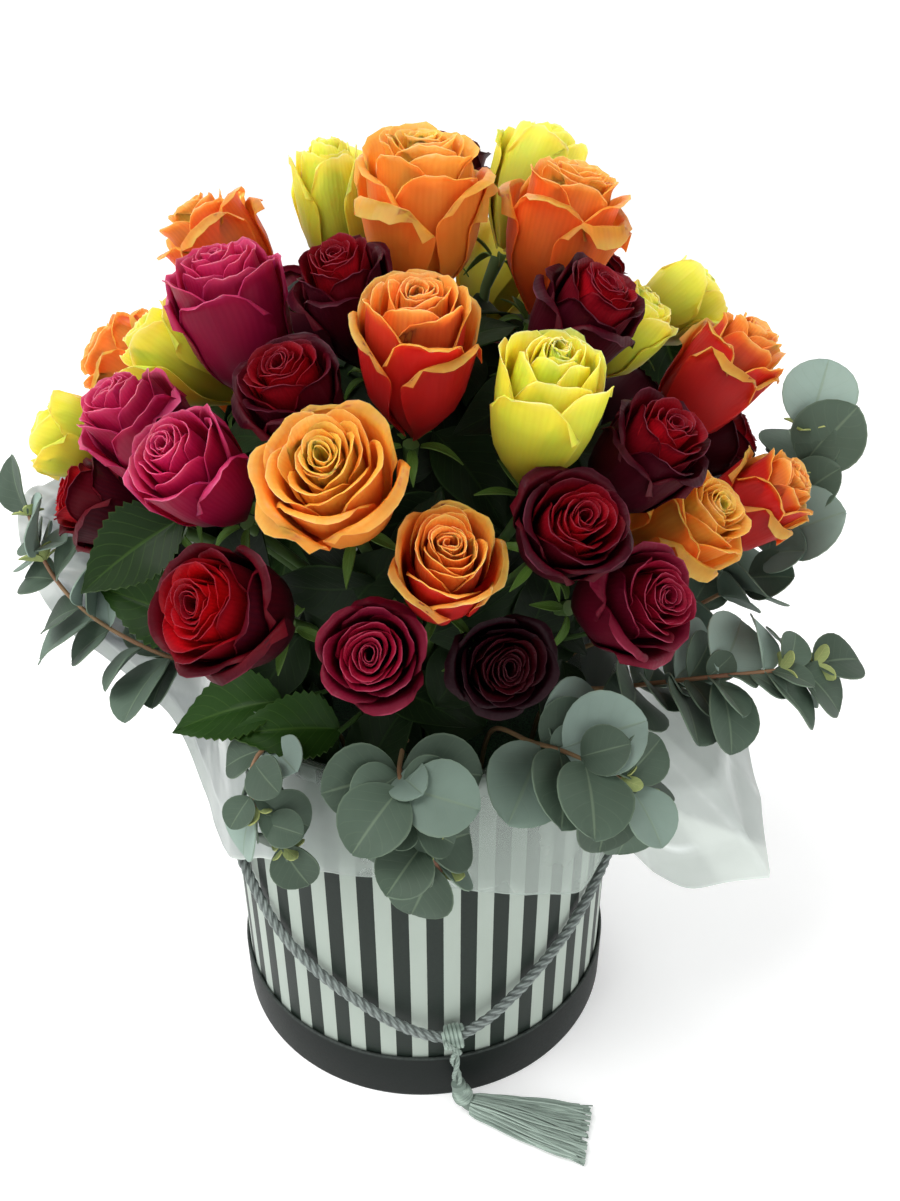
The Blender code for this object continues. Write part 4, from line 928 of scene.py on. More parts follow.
def bloom(number, radius, tall, curl, closed):
    """All petals of one rose. Along (0 foot, 1 lip) and across (-1 to 1) set the place on a petal:
    the azimuth is the petal's own plus across times its half width, the lip is lower towards its
    edges, which roll out and down, and the lip waves. A closed head leans its lips in over the
    next, and slow turns of an oval, 1 + a sin(2 azimuth + 4 layer), keep the whorl from being round."""
    chance = np.random.default_rng(100 + number)
    order = np.arange(PETALS)
    layer = (order + 0.4) / (PETALS - 0.6)
    stations = range(len(STATION_AT))
    values = np.stack([[np.interp(layer, LAYER_AT, LAYERS[:, s, k]) for k in range(2)] for s in stations], 0)
    values = values.transpose(2, 0, 1) * (1 + chance.uniform(-0.02, 0.02, (PETALS, 1, 1)))
    guard = ramp(layer, 0.72, 0.28)
    opened = curl * guard * chance.uniform(0.3, 1.5, PETALS)
    values[:, 4:, 0] += opened[:, None] * (0.015, 0.055)
    values[:, 4:, 1] -= opened[:, None] * (0.02, 0.12)
    closing = closed * np.clip(layer / 0.35, 0, 1)
    values[:, 4:, 0] -= closing[:, None] * (0.045, 0.13)
    values[:, 4:, 1] += closed * guard[:, None] * (0.10, 0.26)
    lean_out = chance.uniform(-0.03, 0.045, (PETALS, 1)) * (0.3 + 0.7 * layer[:, None])
    values[:, 2:, 0] += lean_out * (0.3, 0.6, 0.9, 1.2)
    values[:, 3:, 1] += chance.uniform(-0.06, 0.035, (PETALS, 1)) * (0.4 + 0.6 * layer[:, None])
    along = 1 - (1 - np.linspace(0, 1, PETAL_ROWS)) ** 1.35
    across = np.linspace(-1, 1, PETAL_COLUMNS)[None, None, :]
    depth = layer[:, None, None]
    along, across = np.broadcast_arrays(along[None, :, None] + 0 * depth, across)
    rounding = (0.08 + 0.20 * depth) * chance.uniform(0.85, 1.2, (PETALS, 1, 1))
    shown = along * (1 - rounding * np.abs(across) ** (3.4 - 0.5 * depth))
    side = through_stations(values, shown)
    half_width = np.interp(depth, [0, 0.2, 0.5, 0.8, 1], [2.6, 1.75, 1.3, 1.05, 0.95])
    half_width = half_width * chance.uniform(0.88, 1.14, (PETALS, 1, 1))
    spread = 0.45 + 0.55 * np.sin(np.minimum(along * 1.35, 1.0) * math.pi / 2)
    spread = spread - (0.06 + 0.20 * depth) * along**7
    start = order[:, None, None] * GOLDEN_ANGLE + chance.uniform(-0.3, 0.3, (PETALS, 1, 1))
    azimuth = start + half_width * spread * across
    phase = chance.uniform(0, 6.28, (4, PETALS, 1, 1))
    roll = np.abs(across) ** 3 * along**4 * guard[:, None, None]
    wave = along**5 * (0.25 + 0.75 * depth)
    slow, quick = np.sin(4.5 * across + phase[0]), np.sin(11 * across + phase[1])
    out = side[..., 0] + 0.022 * across * along + 0.09 * curl * roll + wave * (0.024 * slow + 0.010 * quick)
    slow, quick = np.sin(4 * across + phase[2]), np.sin(13 * across + phase[3])
    high = side[..., 1] - 0.14 * curl * roll + wave * (0.040 * slow + 0.013 * quick)
    high = high + 0.02 * guard[:, None, None] * along**8 * (1 - np.abs(across)) ** 2
    rolled = ramp(along, 0.84, 0.16) ** 2 * (0.35 + 0.65 * np.abs(np.sin(2.2 * across + phase[1])))
    out, high = out + 0.040 * rolled, high - 0.022 * rolled
    turn = 2 * azimuth + 4 * depth + phase[0, 0]
    oval = 1 + (0.15 - 0.13 * depth) * np.sin(turn) + 0.045 * (1 - depth) * np.sin(1.5 * turn - 9 * depth)
    out = out * oval
    off_axis = chance.normal(0, 0.018, (2, PETALS, 1, 1))
    off_axis = off_axis * (1 - guard[:, None, None]) * np.minimum(1, 3 * depth)
    x, y = out * np.cos(azimuth) + off_axis[0], out * np.sin(azimuth) + off_axis[1]
    grid = np.stack([x, y, high * tall], -1) * radius
    half = (0.22 - 0.10 * along**3) * MM
    paint = np.stack([shown, np.abs(across), depth + 0 * across], -1)
    return sheets(grid, half, paint)


sample = bloom(0, 20 * MM, 1.2, 1.0, 0.0)
print("petals", PETALS, "points of one bloom", len(sample[0]), "quads", len(sample[1]))

# %% Petal colours
PALETTES = {
    # Hex colours: foot (the base's own colour with painted shade), outside, inside, heart (darker as painted
    # shade in the dark roses), lip, edge (a painted highlight), vein
    "yellow": "968624 fade3c ffe832 fccc16 fff26e fffaaa e6c41e",
    "orange": "f26e20 ff7828 ffa436 ffc842 ff842a ffb658 ee5c12",
    "flame": "b83a10 f05a1c ff962e ffaa3a fc7a24 ffb858 c4300e",
    "bicolour": "700408 a8100e fe7a2a fc7026 ff9232 ffba5a b01810",
    "burgundy": "180008 380210 a80816 7c0412 28000e 92465c 3e020e",
    "ember": "180008 360210 ce0c16 6e0410 3a0010 964258 64020e",
    # A darker copy of burgundy: a near-black rose, with painted shade for a head low in the shade.
    "velvet_shaded": "0a0003 160007 360208 280107 180008 54222e 180006",
    "magenta": "4c001a 82042e c81450 cc1e56 dc3c74 f088ac 680026",
    "crimson": "22000c 500218 8c0824 6e061e 740c2c dc6888 420012",
}
# How much of the lip's tint shows, and from where the lip and its painted edge highlight start
LIPS = {
    "yellow": (0.5, 0.8, 0.96), "orange": (0.7, 0.8, 0.92), "flame": (0.7, 0.8, 0.92),
    "bicolour": (0.8, 0.5, 0.93), "burgundy": (0.92, 0.76, 0.975), "ember": (0.85, 0.82, 0.975),
    "velvet_shaded": (0.8, 0.8, 0.98), "magenta": (0.6, 0.8, 0.96), "crimson": (0.6, 0.78, 0.97),
}


def petal_finish(family):
    """Petals: one colour outside and one inside, a heart in its own tint, a lip in its own tint with a
    thin painted highlight along its edge, and veins that fan out from the foot. The foot's colour,
    low on the outer faces and deep in the cup, is the petal's own colour at its base, darkened as
    painted shade, and in the dark roses the deeper heart is painted shade too. The paint is (along,
    across, layer, outer face).
    Light soaks a little way into a petal, which fills its folds with its own colour."""
    tones = (rgb(*bytes.fromhex(tone)) for tone in PALETTES[family].split())
    foot, outside, inside, heart, lip, edge, vein = tones
    lip_share, lip_from, edge_highlight_from = LIPS[family]
    bright = family in ("yellow", "orange", "flame", "bicolour")
    soak = 0.85 if bright else 0.3 if family == "magenta" else 0.0
    gleam = 0.12 if lip_share > 0.8 or family in ("crimson", "velvet_shaded") else 0.22
    paint = Paint(
        f"petals_of_{family}", Specular_IOR_Level=gleam, Subsurface_Weight=soak, Subsurface_Scale=5 * MM
    )
    paint.shader.inputs["Subsurface Radius"].default_value = (1.0, 0.45, 0.35)
    along, across, layer, outer = paint.painted()
    cloud = paint.noise(60, 2)
    fleck = paint.noise(420, 2)
    lines = ((across * 52 + cloud * 6.0).of("SINE") * 0.5 + 0.5) * along.rise(0.15, 0.6)
    shown = paint.mix(layer.rise(0.45, 0.80), inside, outside)
    # Painted shade: the outer faces darken to the foot's colour towards their base.
    body = paint.mix(along.rise(0.05, 0.85 if family == "yellow" else 0.5), foot, shown)
    cup = paint.mix(layer.rise(0.05, 0.45), heart, inside)
    # Painted shade: deep in the cup the inner faces darken to the foot's colour.
    cup = paint.mix(along.rise(0.25, 0.72), foot, cup)
    if family in ("yellow", "orange", "flame"):
        guard_face = layer.rise(0.66, 0.92) * 0.5
    elif family == "bicolour":
        guard_face = layer.rise(0.70, 0.95) * 0.6
    else:
        guard_face = layer.rise(0.55, 0.82) * 0.9
    cup = paint.mix(guard_face, cup, outside)
    skin = paint.mix(outer, cup, body)
    skin = paint.mix(lines * 0.14, skin, vein)
    sides = (across ** 5.0) * along.rise(0.45, 0.9) * 0.5
    tip = along.rise(0.82, 1.0) * outer + along.rise(lip_from, 0.99) * (1 - outer)
    tip = (tip * (0.30 + layer * 0.70) + sides * (1 - outer * 0.5)).of("MINIMUM", 1.0)
    skin = paint.mix(tip * (0.5 + cloud).of("MINIMUM", 1.0) * lip_share, skin, lip)
    # Painted highlight: a thin pale line along the lip's edge, shown in patches.
    edge_highlight_patches = (fleck * cloud * 3.4).of("MINIMUM", 1.0)
    skin = paint.mix(along.rise(edge_highlight_from, 1.0) * edge_highlight_patches * (0.45 if bright else 0.28), skin, edge)
    folds = (across * 8 + cloud * 5.0 + layer * 40).of("SINE") * along.rise(0.1, 0.9)
    height = lines * 0.09 + cloud * 0.07 + folds * 0.6
    return paint.finish(skin, 0.44 + cloud * 0.16, height, 0.7 * MM, 0.6)


petal_finishes = {family: petal_finish(family) for family in PALETTES}
print("petal finishes", len(petal_finishes))

# %% Every bloom on its node
CURL = {"yellow": 0.6, "orange": 1.1, "bicolour": 0.8, "burgundy": 1.0, "magenta": 0.6, "crimson": 0.9}
CLOSED = {"yellow": 1.2, "orange": 0.15, "bicolour": 0.5, "burgundy": 0.25, "magenta": 0.6, "crimson": 0.1}
# Rose 33 takes the darker burgundy with painted shade in it.
LOOKS = {5: "flame", 11: "flame", 25: "ember", 31: "ember", 33: "velvet_shaded"}
bloom_triangles = 0
for number, (name, row) in enumerate(zip(head_names, ROSES)):
    family = row[0]
    points, faces, paint = bloom(number, head_radii[number], head_tall[number], CURL[family], CLOSED[family])
    turned = points @ turn_to(head_axes[number], number * GOLDEN_ANGLE).T + head_places[number]
    look = petal_finishes[LOOKS.get(number + 1, family)]
    make_piece(name + "_petals", [(turned, faces, paint)], look, [name], 80)
    bloom_triangles += 2 * len(faces)
print("bloom triangles", bloom_triangles)

# %% [markdown]
# ## Stems, calyxes and leaves
# The CAD keeps every stem, calyx and rose leaf in one green node. Here each stem is a tube
# that rises out of the bound bunch and swells to the hip below its bloom, five sepals hang from
# it, and the leaves on the outside have toothed edges, a sunk midrib and side veins.

# %% Green finishes
def leaf_finish(name, dark, middle, back, vein, gloss, veins, wax=None, shows=0.5):
    """A leaf: its tone by chance, a pale midrib and side veins that slant towards the tip, and a
    thin pale edge. The paint is (along, across from 0 to 1, chance, under face)."""
    paint = Paint(name, Coat_Weight=gloss, Coat_Roughness=0.32, Specular_IOR_Level=0.3 if wax else 0.12)
    along, across, chance, under = paint.painted()
    off = abs(across - 0.5) * 2
    cloud = paint.noise(45, 3)
    tone = paint.mix((chance * 0.6 + cloud * 0.6).of("MINIMUM", 1.0), rgb(*dark), rgb(*middle))
    tone = paint.mix(under * 0.7, tone, rgb(*back))
    rib = 1 - off.rise(0.015, 0.06)
    slant = ((along * veins - off * veins * 0.32) * 2 * math.pi).of("COSINE")
    thin = slant.rise(0.88, 1.0) * (1 - off.rise(0.75, 1.0)) * shows
    lines = rib.of("MAXIMUM", thin)
    if wax:
        dusted = (chance - 0.8).rise(0.0, 0.15) * (0.6 + cloud * 0.5)
        tone = paint.mix(dusted.of("MINIMUM", 1.0), tone, rgb(*wax))
    tone = paint.mix(lines * 0.42, tone, rgb(*vein))
    tone = paint.mix(off.rise(0.93, 1.0) * 0.3, tone, rgb(*vein))
    return paint.finish(tone, 0.60 - gloss * 0.4 + cloud * 0.14, 1 - lines, 0.25 * MM, 0.5)


def stem_finish(name, green, other):
    """Smooth green bark that turns to a second tone by the third number of the paint."""
    paint = Paint(name)
    _, _, chance, _ = paint.painted()
    cloud = paint.noise(60, 3)
    tone = paint.mix((cloud * 0.7 + chance * 0.4).of("MINIMUM", 1.0), rgb(*green), rgb(*other))
    return paint.finish(tone, 0.5 + cloud * 0.2, paint.noise(300, 2), 0.2 * MM, 0.4)


rose_green = leaf_finish("rose_leaf_green", (6, 18, 2), (28, 58, 8), (56, 76, 36), (60, 88, 28), 0.10, 9)
# A darker, shaded copy of the leaf green for the gap leaves: painted shade between the heads.
gap_shade_green = leaf_finish("rose_leaf_shaded", (5, 15, 4), (17, 36, 9), (28, 46, 20), (36, 58, 20), 0.04, 9)
sepal_green = leaf_finish(
    "rose_sepal_green", (22, 44, 12), (72, 102, 36), (90, 114, 60), (96, 124, 56), 0.06, 5
)
stem_green = stem_finish("rose_stem_green", (38, 70, 28), (78, 106, 42))
spray_green = leaf_finish(
    "eucalyptus_wax", (42, 57, 42), (84, 103, 88), (98, 117, 105), (118, 136, 110), 0.04, 7,
    wax=(142, 163, 153), shows=0.14,
)
tip_green = leaf_finish(
    "eucalyptus_tips", (110, 128, 66), (158, 168, 88), (150, 164, 110), (196, 200, 130), 0.1, 5
)
spray_bark = stem_finish("eucalyptus_bark", (134, 136, 84), (132, 74, 62))
print("greens ready")

# %% Stems from the bunch to the hips
BUNCH_REACH = 16.5 * MM
STEM_POINTS, STEM_SIDES = 26, 9
stem_tops = head_places - head_axes * (head_radii * ROSE_BASE * head_tall + GAP)[:, None]
flat_out = unit(stem_tops * (1, 1, 0) + 1e-9)
fork_height = np.minimum(214 * MM, 176 * MM + 0.30 * np.maximum(0, stem_tops[:, 2] - 215 * MM))
stem_starts = flat_out * 12 * MM + np.stack([fork_height * 0, fork_height * 0, fork_height], -1)
stem_necks = stem_tops - head_axes * 13 * MM


def bunch_places():
    """Where each stem stands in the bunch: near its own head's side, pushed apart like coins."""
    reach = np.linalg.norm(stem_tops[:, :2], axis=1)
    spots = flat_out[:, :2] * (BUNCH_REACH * reach / reach.max())[:, None]
    for _ in range(200):
        away = spots[:, None] - spots[None]
        far = np.linalg.norm(away, axis=-1) + 1e-9
        short = np.clip(4.6 * MM - far, 0, None) * (1 - np.eye(len(spots)))
        spots = spots + (away / far[..., None] * short[..., None] * 0.3).sum(axis=1)
        spots = spots * np.minimum(1, BUNCH_REACH / np.linalg.norm(spots, axis=1))[:, None]
    return spots


spots = bunch_places()
levels = np.array([32, 100, 158]) * MM
stem_paths = []
for spot, start, neck, top, axis in zip(spots, stem_starts, stem_necks, stem_tops, head_axes):
    foot = [np.array([*spot, level]) for level in levels]
    bends = [start * 0.5 + foot[-1] * 0.5, start * 0.55 + neck * 0.45, neck, top - axis * 1 * MM]
    way = smooth_path(np.array(foot + bends), 6)
    stem_paths.append(even_points(way, run_along(way)[-1] / (STEM_POINTS - 1))[:STEM_POINTS])
stem_paths = np.array(stem_paths)
to_top = np.linalg.norm(stem_paths - stem_tops[:, None], axis=-1)
hip = bump(to_top, 5 * MM, 4 * MM) * 2.6 * MM
stem_width = (2.1 * MM + hip)[..., None, None]
stem_colour = np.zeros((*stem_paths.shape[:2], 4))
stem_colour[..., 2] = np.linspace(0, 1, len(ROSES))[:, None]
stem_part = tubes(stem_paths, stem_width, STEM_SIDES, np.array([0.31, 0.23, 0.1]), stem_colour)
print("stem quads", len(stem_part[1][0]))

# %% Sepals
def sepals():
    """Five narrow leaves under each bloom: width by sin, bent out and down by the square of the way
    along, the tips thin."""
    chance = np.random.default_rng(11)
    turns = np.arange(5) * 2 * math.pi / 5
    grids, paints = [], []
    v, u = np.meshgrid(np.linspace(0, 1, 9), np.linspace(-1, 1, 4), indexing="ij")
    for number, (top, axis, radius) in enumerate(zip(stem_tops, head_axes, head_radii)):
        frame_matrix = turn_to(axis, number * GOLDEN_ANGLE)
        for turn in turns:
            long = radius * chance.uniform(0.75, 1.0)
            bend = chance.uniform(0.1, 0.9)
            width = (0.13 * radius) * (np.sin(np.minimum(v * 1.6 + 0.25, 1.57)) * (1 - v**1.6) + 0.04)
            out = 0.16 * radius + v * long * 0.72
            high = -1.2 * MM + long * (0.30 * v - bend * v**2)
            flat = np.stack([out, u * width, high + np.abs(u) * 0.4 * width], -1)
            c, s = math.cos(turn), math.sin(turn)
            spin = np.array([[c, -s, 0], [s, c, 0], [0, 0, 1]])
            grids.append(flat @ spin.T @ frame_matrix.T + top)
            paints.append(np.stack([v, (u + 1) / 2, v * 0 + chance.uniform(0.4, 1)], -1))
    return sheets(np.array(grids), 0.25 * MM, np.array(paints))


sepal_part = sepals()
make_piece("rose_stem_tubes", [stem_part], stem_green, ["rose_stems"])
make_piece("rose_sepals", [sepal_part], sepal_green, ["rose_stems"], 80)
print("sepal quads", len(sepal_part[1]))

# %% [markdown]
# ## Leaves that find their own room
# A leaf is turned, and if need be made smaller, until it is clear of the blooms, the film and the
# leaves before it. The same tries in the same order placed the CAD's leaves, so each fine leaf
# lands on its coarse one.

# %% The room that is left
LEAF_HALF = 0.35 * MM
ROUND_LEAF = ((0.30, 0.86), (0.62, 1.0), (0.88, 0.62))
TOOTHED_LEAF = ((0.16, 0.62), (0.33, 0.98), (0.40, 0.80), (0.62, 0.92), (0.68, 0.64), (0.84, 0.46))


class Room:
    """The balls that leaves have to stay clear of."""

    def __init__(self):
        self.places, self.sizes = np.zeros((0, 3)), np.zeros(0)

    def fill(self, places, size):
        places = np.atleast_2d(places)
        self.places = np.vstack([self.places, places])
        self.sizes = np.concatenate([self.sizes, np.full(len(places), size)])

    def is_clear(self, places, margin):
        far = np.linalg.norm(places[:, None] - self.places[None], axis=2)
        return bool((far > self.sizes[None] + margin).all())


def leaf_spots(length, width, stations, place, along, face, arch):
    """Points spread over a plain leaf of this outline: its edge, and rings of points inside it."""
    left = [(a * length, b * width / 2) for a, b in stations]
    outline = np.array([(0.0, 0.0)] + left + [(length, 0.0)] + [(x, -y) for x, y in reversed(left)])
    lift = arch * (0.35 * np.abs(outline[:, 1]) - 0.5 * outline[:, 0] ** 2 / length)
    flat = np.outer(outline[:, 0], along) + np.outer(outline[:, 1], np.cross(face, along))
    middle = place + flat + np.outer(lift, face)
    centre = middle.mean(axis=0)
    rim = middle[1:] + face * LEAF_HALF
    edges = (rim[1:] + rim[:-1]) / 2
    return np.vstack([rim, edges, (rim + centre) / 2, rim * 0.25 + centre * 0.75, [centre]])


room = Room()
for place, axis, radius, tall in zip(head_places, head_axes, head_radii, head_tall):
    room.fill(place, radius)
    room.fill(place - axis * BODY_DEPTH * radius * tall, radius * BODY_SHARE)
coarse = film_rows(FILM_HEM, (0.1, 0.55, 1.0), 1.6 * (np.arange(len(FILM_HEM)) % 2))[3:]
steps = np.linspace(0, 1, 5)[:-1, None, None, None]
fine = (coarse[None, :-1] * (1 - steps) + coarse[None, 1:] * steps).reshape(-1, *coarse.shape[1:])
fine = np.vstack([fine, coarse[-1:]])
room.fill((fine[None] * (1 - steps) + np.roll(fine, -1, axis=1)[None] * steps).reshape(-1, 3), 4.5 * MM)
for start, neck, top, axis, radius in zip(stem_starts, stem_necks, stem_tops, head_axes, head_radii):
    room.fill(np.linspace(start, neck, 14)[5:], 4.5 * MM)
    room.fill(top - axis * 3 * MM, 0.55 * radius)
print("balls in the room", len(room.sizes))

# %% Where the sprays and the leaves go
# By name: the hole in the foam, the lengths of a leaf at the foot and at the tip, the pairs of leaves,
# and the part of the route that shows. Places are azimuth, distance and height.
SPRAYS = {
    "eucalyptus_front_left": (
        -30, 27, 20, 4, ((-31, 98, 204), (-32, 112, 205), (-31, 121, 196), (-28, 123, 184), (-25, 121, 172))
    ),
    "eucalyptus_front": (
        -3, 30, 25, 5, ((-3, 98, 203), (-2, 114, 206), (0, 124, 199), (2, 125, 186), (5, 122, 170))
    ),
    "eucalyptus_front_right": (
        27, 35, 27, 6, ((28, 98, 204), (30, 114, 209), (33, 128, 208), (37, 134, 200), (41, 134, 188))
    ),
    "eucalyptus_right_low": (
        58, 35, 24, 5, ((58, 98, 206), (58, 118, 216), (60, 140, 224), (64, 158, 226), (70, 172, 222))
    ),
    "eucalyptus_right_high": (
        86, 36, 31, 4, ((86, 98, 206), (87, 126, 220), (87, 150, 240), (88, 162, 268), (90, 164, 300))
    ),
    "eucalyptus_left": (
        -68, 34, 26, 3, ((-68, 98, 206), (-70, 120, 218), (-74, 142, 234), (-78, 156, 252), (-82, 162, 272))
    ),
    "eucalyptus_back_left": (
        -140, 36, 28, 4,
        ((-140, 98, 206), (-140, 122, 224), (-142, 146, 238), (-144, 162, 258), (-146, 166, 284)),
    ),
    "eucalyptus_back_right": (
        140, 36, 28, 4, ((140, 98, 206), (140, 122, 222), (138, 146, 234), (136, 160, 252), (134, 166, 276))
    ),
}
# Azimuth, height, distance and length
ROSE_LEAVES = (
    (-58, 236, 98, 46), (-36, 214, 90, 44), (-20, 206, 86, 40), (70, 224, 90, 42),
    (100, 226, 94, 44), (126, 222, 92, 46), (164, 222, 94, 44),
    (-160, 222, 92, 44), (-128, 226, 94, 46), (-98, 222, 92, 44),
)
LEAF_TRIES = ((0, 0.1, 1), (14, 0.3, 0.9), (-14, 0.3, 0.9), (0, -0.3, 0.8), (20, 0, 0.7), (-20, 0, 0.7))
ROUND_TRIES = (
    (55, 0, 1), (55, 25, 1), (55, -25, 1), (35, 0, 0.9), (75, 0, 0.9), (55, 45, 0.85),
    (35, 30, 0.8), (75, -30, 0.8), (20, 0, 0.7), (90, 20, 0.7), (60, 60, 0.6),
)


def spray_path(name, steps=1):
    """A spray's stem, from the foam through the gap under the roses and over the rim."""
    hole, outside = SPRAYS[name][0], SPRAYS[name][-1]
    route = [(hole, 60, 121), (hole, 60, 160), (hole, 70, 192), *outside]
    return smooth_path(polar_rows(route), steps)


def other_stems(name):
    """The room that the stems of all sprays but this one take up."""
    taken = Room()
    for other in SPRAYS:
        if other != name:
            taken.fill(even_points(spray_path(other), 4 * MM), 2.05 * MM)
    return taken


def squared(face, along):
    """The way a leaf faces, made square to the way it runs."""
    return unit(face - along * np.dot(face, along))


def facing_up(along, azimuth, outward):
    """The way a leaf under the blooms faces: up, and outward by a share."""
    up = np.cross(np.cross(along, (0, 0, 1.0)), along)
    return squared(unit(up + outward * polar(azimuth, 1.0, 0.0)), along)


def place_rose_leaf(azimuth, height, reach, length):
    """The first try that is clear, as (foot of the stalk, place, along, face, length)."""
    foot, place = polar(azimuth, 20 * MM, 196 * MM), polar(azimuth, reach * MM, height * MM)
    for swing, droop, size in LEAF_TRIES:
        along = unit(polar(azimuth + swing, 1.0, -droop))
        face = facing_up(along, azimuth, 0.25)
        long = length * size * MM
        spots = leaf_spots(long, 0.66 * long, TOOTHED_LEAF, place, along, face, 1.0)
        path = np.array([foot, (foot + place) / 2 - (0, 0, 3 * MM), place + along * 2 * MM])
        everywhere = np.vstack([spots, even_points(path, 4 * MM)])
        if room.is_clear(spots, 1.5 * MM) and all_stems.is_clear(everywhere, 1.5 * MM):
            room.fill(spots, 2.5 * MM)
            room.fill(even_points(path, 4 * MM), 1.5 * MM)
            return path, place, along, face, long
    return None


def place_round_leaf(place, along, length, hand, number, rooms):
    """The first try that is clear, as (place, along, face, length) and the points it covers."""
    sky = unit(unit(place * (1, 1, 0)) * 0.8 + np.array([0.0, 0.0, 0.75]))
    side = unit(np.cross(sky, along))
    for turn, tilt, size in ROUND_TRIES:
        angle = math.radians(turn + 8 * math.sin(2.4 * number)) * hand
        way = along * math.cos(angle) + side * math.sin(angle)
        lean = math.radians(tilt + 14 * math.sin(1.7 * number + hand))
        way = unit(way * math.cos(lean) + sky * math.sin(lean))
        face = squared(sky, way)
        face = unit(face + 0.25 * math.sin(2.9 * number + hand) * np.cross(face, way))
        spots = leaf_spots(length * size, 0.86 * length * size, ROUND_LEAF, place, way, face, 0.9)
        if all(taken.is_clear(spots, 1.2 * MM) for taken in rooms):
            return (place, way, face, length * size), spots
    return None


def seats(outside, shares, foot_leaf, tip_leaf):
    """For each share of the part of a spray that shows: the place, the way ahead, and a leaf's length.
    The last one is the tip's."""
    line = even_points(smooth_path(polar_rows(outside), 8), 1 * MM)
    spots = [min(int(share * len(line)), len(line) - 3) for share in shares]
    sizes = [(foot_leaf + (tip_leaf - foot_leaf) * share) * MM for share in shares]
    found = [(line[spot], unit(line[spot + 2] - line[spot]), size) for spot, size in zip(spots, sizes)]
    return found + [(line[-2], unit(line[-1] - line[-4]), tip_leaf * MM)]


all_stems = other_stems("")
rose_leaves = [leaf for leaf in (place_rose_leaf(*row) for row in ROSE_LEAVES) if leaf]
spray_leaves = {}
for number, (name, (_, foot_leaf, tip_leaf, pairs, outside)) in enumerate(SPRAYS.items()):
    own, leaves = Room(), []
    rooms = (room, own, other_stems(name))
    *paired, tip = seats(outside, [(pair + 0.5) / pairs for pair in range(pairs)], foot_leaf, tip_leaf)
    tries = [(*seat, hand, number * 3 + pair) for pair, seat in enumerate(paired) for hand in (-1, 1)]
    tries.append((*tip, 0, number * 3))
    for attempt in tries:
        found = place_round_leaf(*attempt, rooms)
        if found:
            leaves.append(found[0])
            own.fill(found[1], 1.6 * MM)
    room.fill(own.places, 3 * MM)
    spray_leaves[name] = leaves

# Smaller leaves between those pairs, where there is room left
tight = Room()
tight.fill(room.places, 1.0)
tight.sizes = np.where(room.sizes < 5 * MM, room.sizes * 0.4, room.sizes)
for number, (name, (_, foot_leaf, tip_leaf, pairs, outside)) in enumerate(SPRAYS.items()):
    shares = [(pair + 1) / (2 * pairs + 1) for pair in range(2 * pairs)]
    rooms = (tight, other_stems(name))
    for pair, (place, ahead, size) in enumerate(seats(outside, shares, foot_leaf, tip_leaf)[:-1], 1):
        for hand in (-1, 1):
            found = place_round_leaf(place, ahead, 0.72 * size, hand, number * 5 + pair, rooms)
            if found:
                spray_leaves[name].append(found[0])
                tight.fill(found[1], 1.0 * MM)
print("rose leaves", len(rose_leaves), "round leaves", [len(leaves) for leaves in spray_leaves.values()])

# %% Fine leaves on those places
# A round leaf's stalk, as a share of its length and of its width
STALK_SHARE, STALK_WIDTH = 0.06, 0.035


def fine_leaves(leaves, profile, width, arch, stations, columns, teeth, seed, cup=0.0):
    """Leaves as grids: along the midrib and across it, arched back, with edges lifted, a sunk midrib
    and a slow wave. `profile` gives half the width at each share of the length, and `stations` are
    the shares. Each leaf gets its own tone by chance."""
    chance = np.random.default_rng(seed)
    v = np.asarray(stations)[:, None]
    u = np.linspace(-1, 1, columns)[None]
    grids, paints = [], []
    for place, along, face, length in leaves:
        half = np.maximum(profile(v), 0.012) * width * length / 2
        saw = 1 - teeth * (1 - (v * 14 + 0.3 * np.abs(u)) % 1.0) * np.abs(u) ** 6
        y = u * half * saw
        x = v * length
        bend = arch * (0.35 * np.abs(y) - 0.5 * x**2 / length)
        bowl = cup * length * (1 - (y / (0.5 * width * length)) ** 2) * v * (1 - v)
        slow, quick = np.sin(7 * v + chance.uniform(0, 6)), np.sin(11 * v + 3 * u + chance.uniform(0, 6))
        wave = 0.012 * length * slow * u + 0.010 * length * quick * np.abs(u)
        rib = 0.010 * length * bump(u, 0, 0.10) * (v < 0.97)
        side = np.cross(face, along)
        lift = (bend - bowl + wave - rib)[..., None] * face
        grids.append(place + x[..., None] * along + y[..., None] * side + lift)
        tone = np.full(v.shape, chance.uniform(0, 1))
        paints.append(np.stack(np.broadcast_arrays(v, (u + 1) / 2, tone), -1))
    return sheets(np.array(grids), 0.28 * MM, np.array(paints))


def round_profile(v):
    """A short stalk, then an ellipse that is widest a little past its middle: sqrt(1 - (2 s^1.22 - 1)^2)."""
    s = ramp(v, STALK_SHARE, 1 - STALK_SHARE)
    blade = np.sqrt(np.clip(1 - (2 * s**1.22 - 1) ** 2, 0, 1))
    return np.where(v < STALK_SHARE, STALK_WIDTH, np.maximum(blade, STALK_WIDTH))


def rose_profile(v):
    """An egg-shaped blade, widest below its middle, with a drawn-out tip."""
    return np.sin(math.pi * np.clip(v, 0, 1) ** 0.82) ** 0.85 * (1 - 0.25 * v**3)


def rounded_stations(count):
    """Shares that crowd at both ends of the blade, (1 - cos a) / 2, after one for the stalk."""
    blade = (1 - np.cos(np.linspace(0, math.pi, count))) / 2
    return np.concatenate([[0.0], STALK_SHARE + (1 - STALK_SHARE) * blade])


# Leaves at the front left that lie along the rim: azimuth of the foot, way along, way it faces
LAID_LEAVES = (
    (-58, (-0.85, -0.1, 0.45), (-0.2, -0.7, 0.6)), (-36, (-0.93, -0.2, 0.05), (0.0, -0.5, 0.85)),
    (-20, (-0.8, -0.35, 0.35), (0.0, -0.6, 0.8)),
)


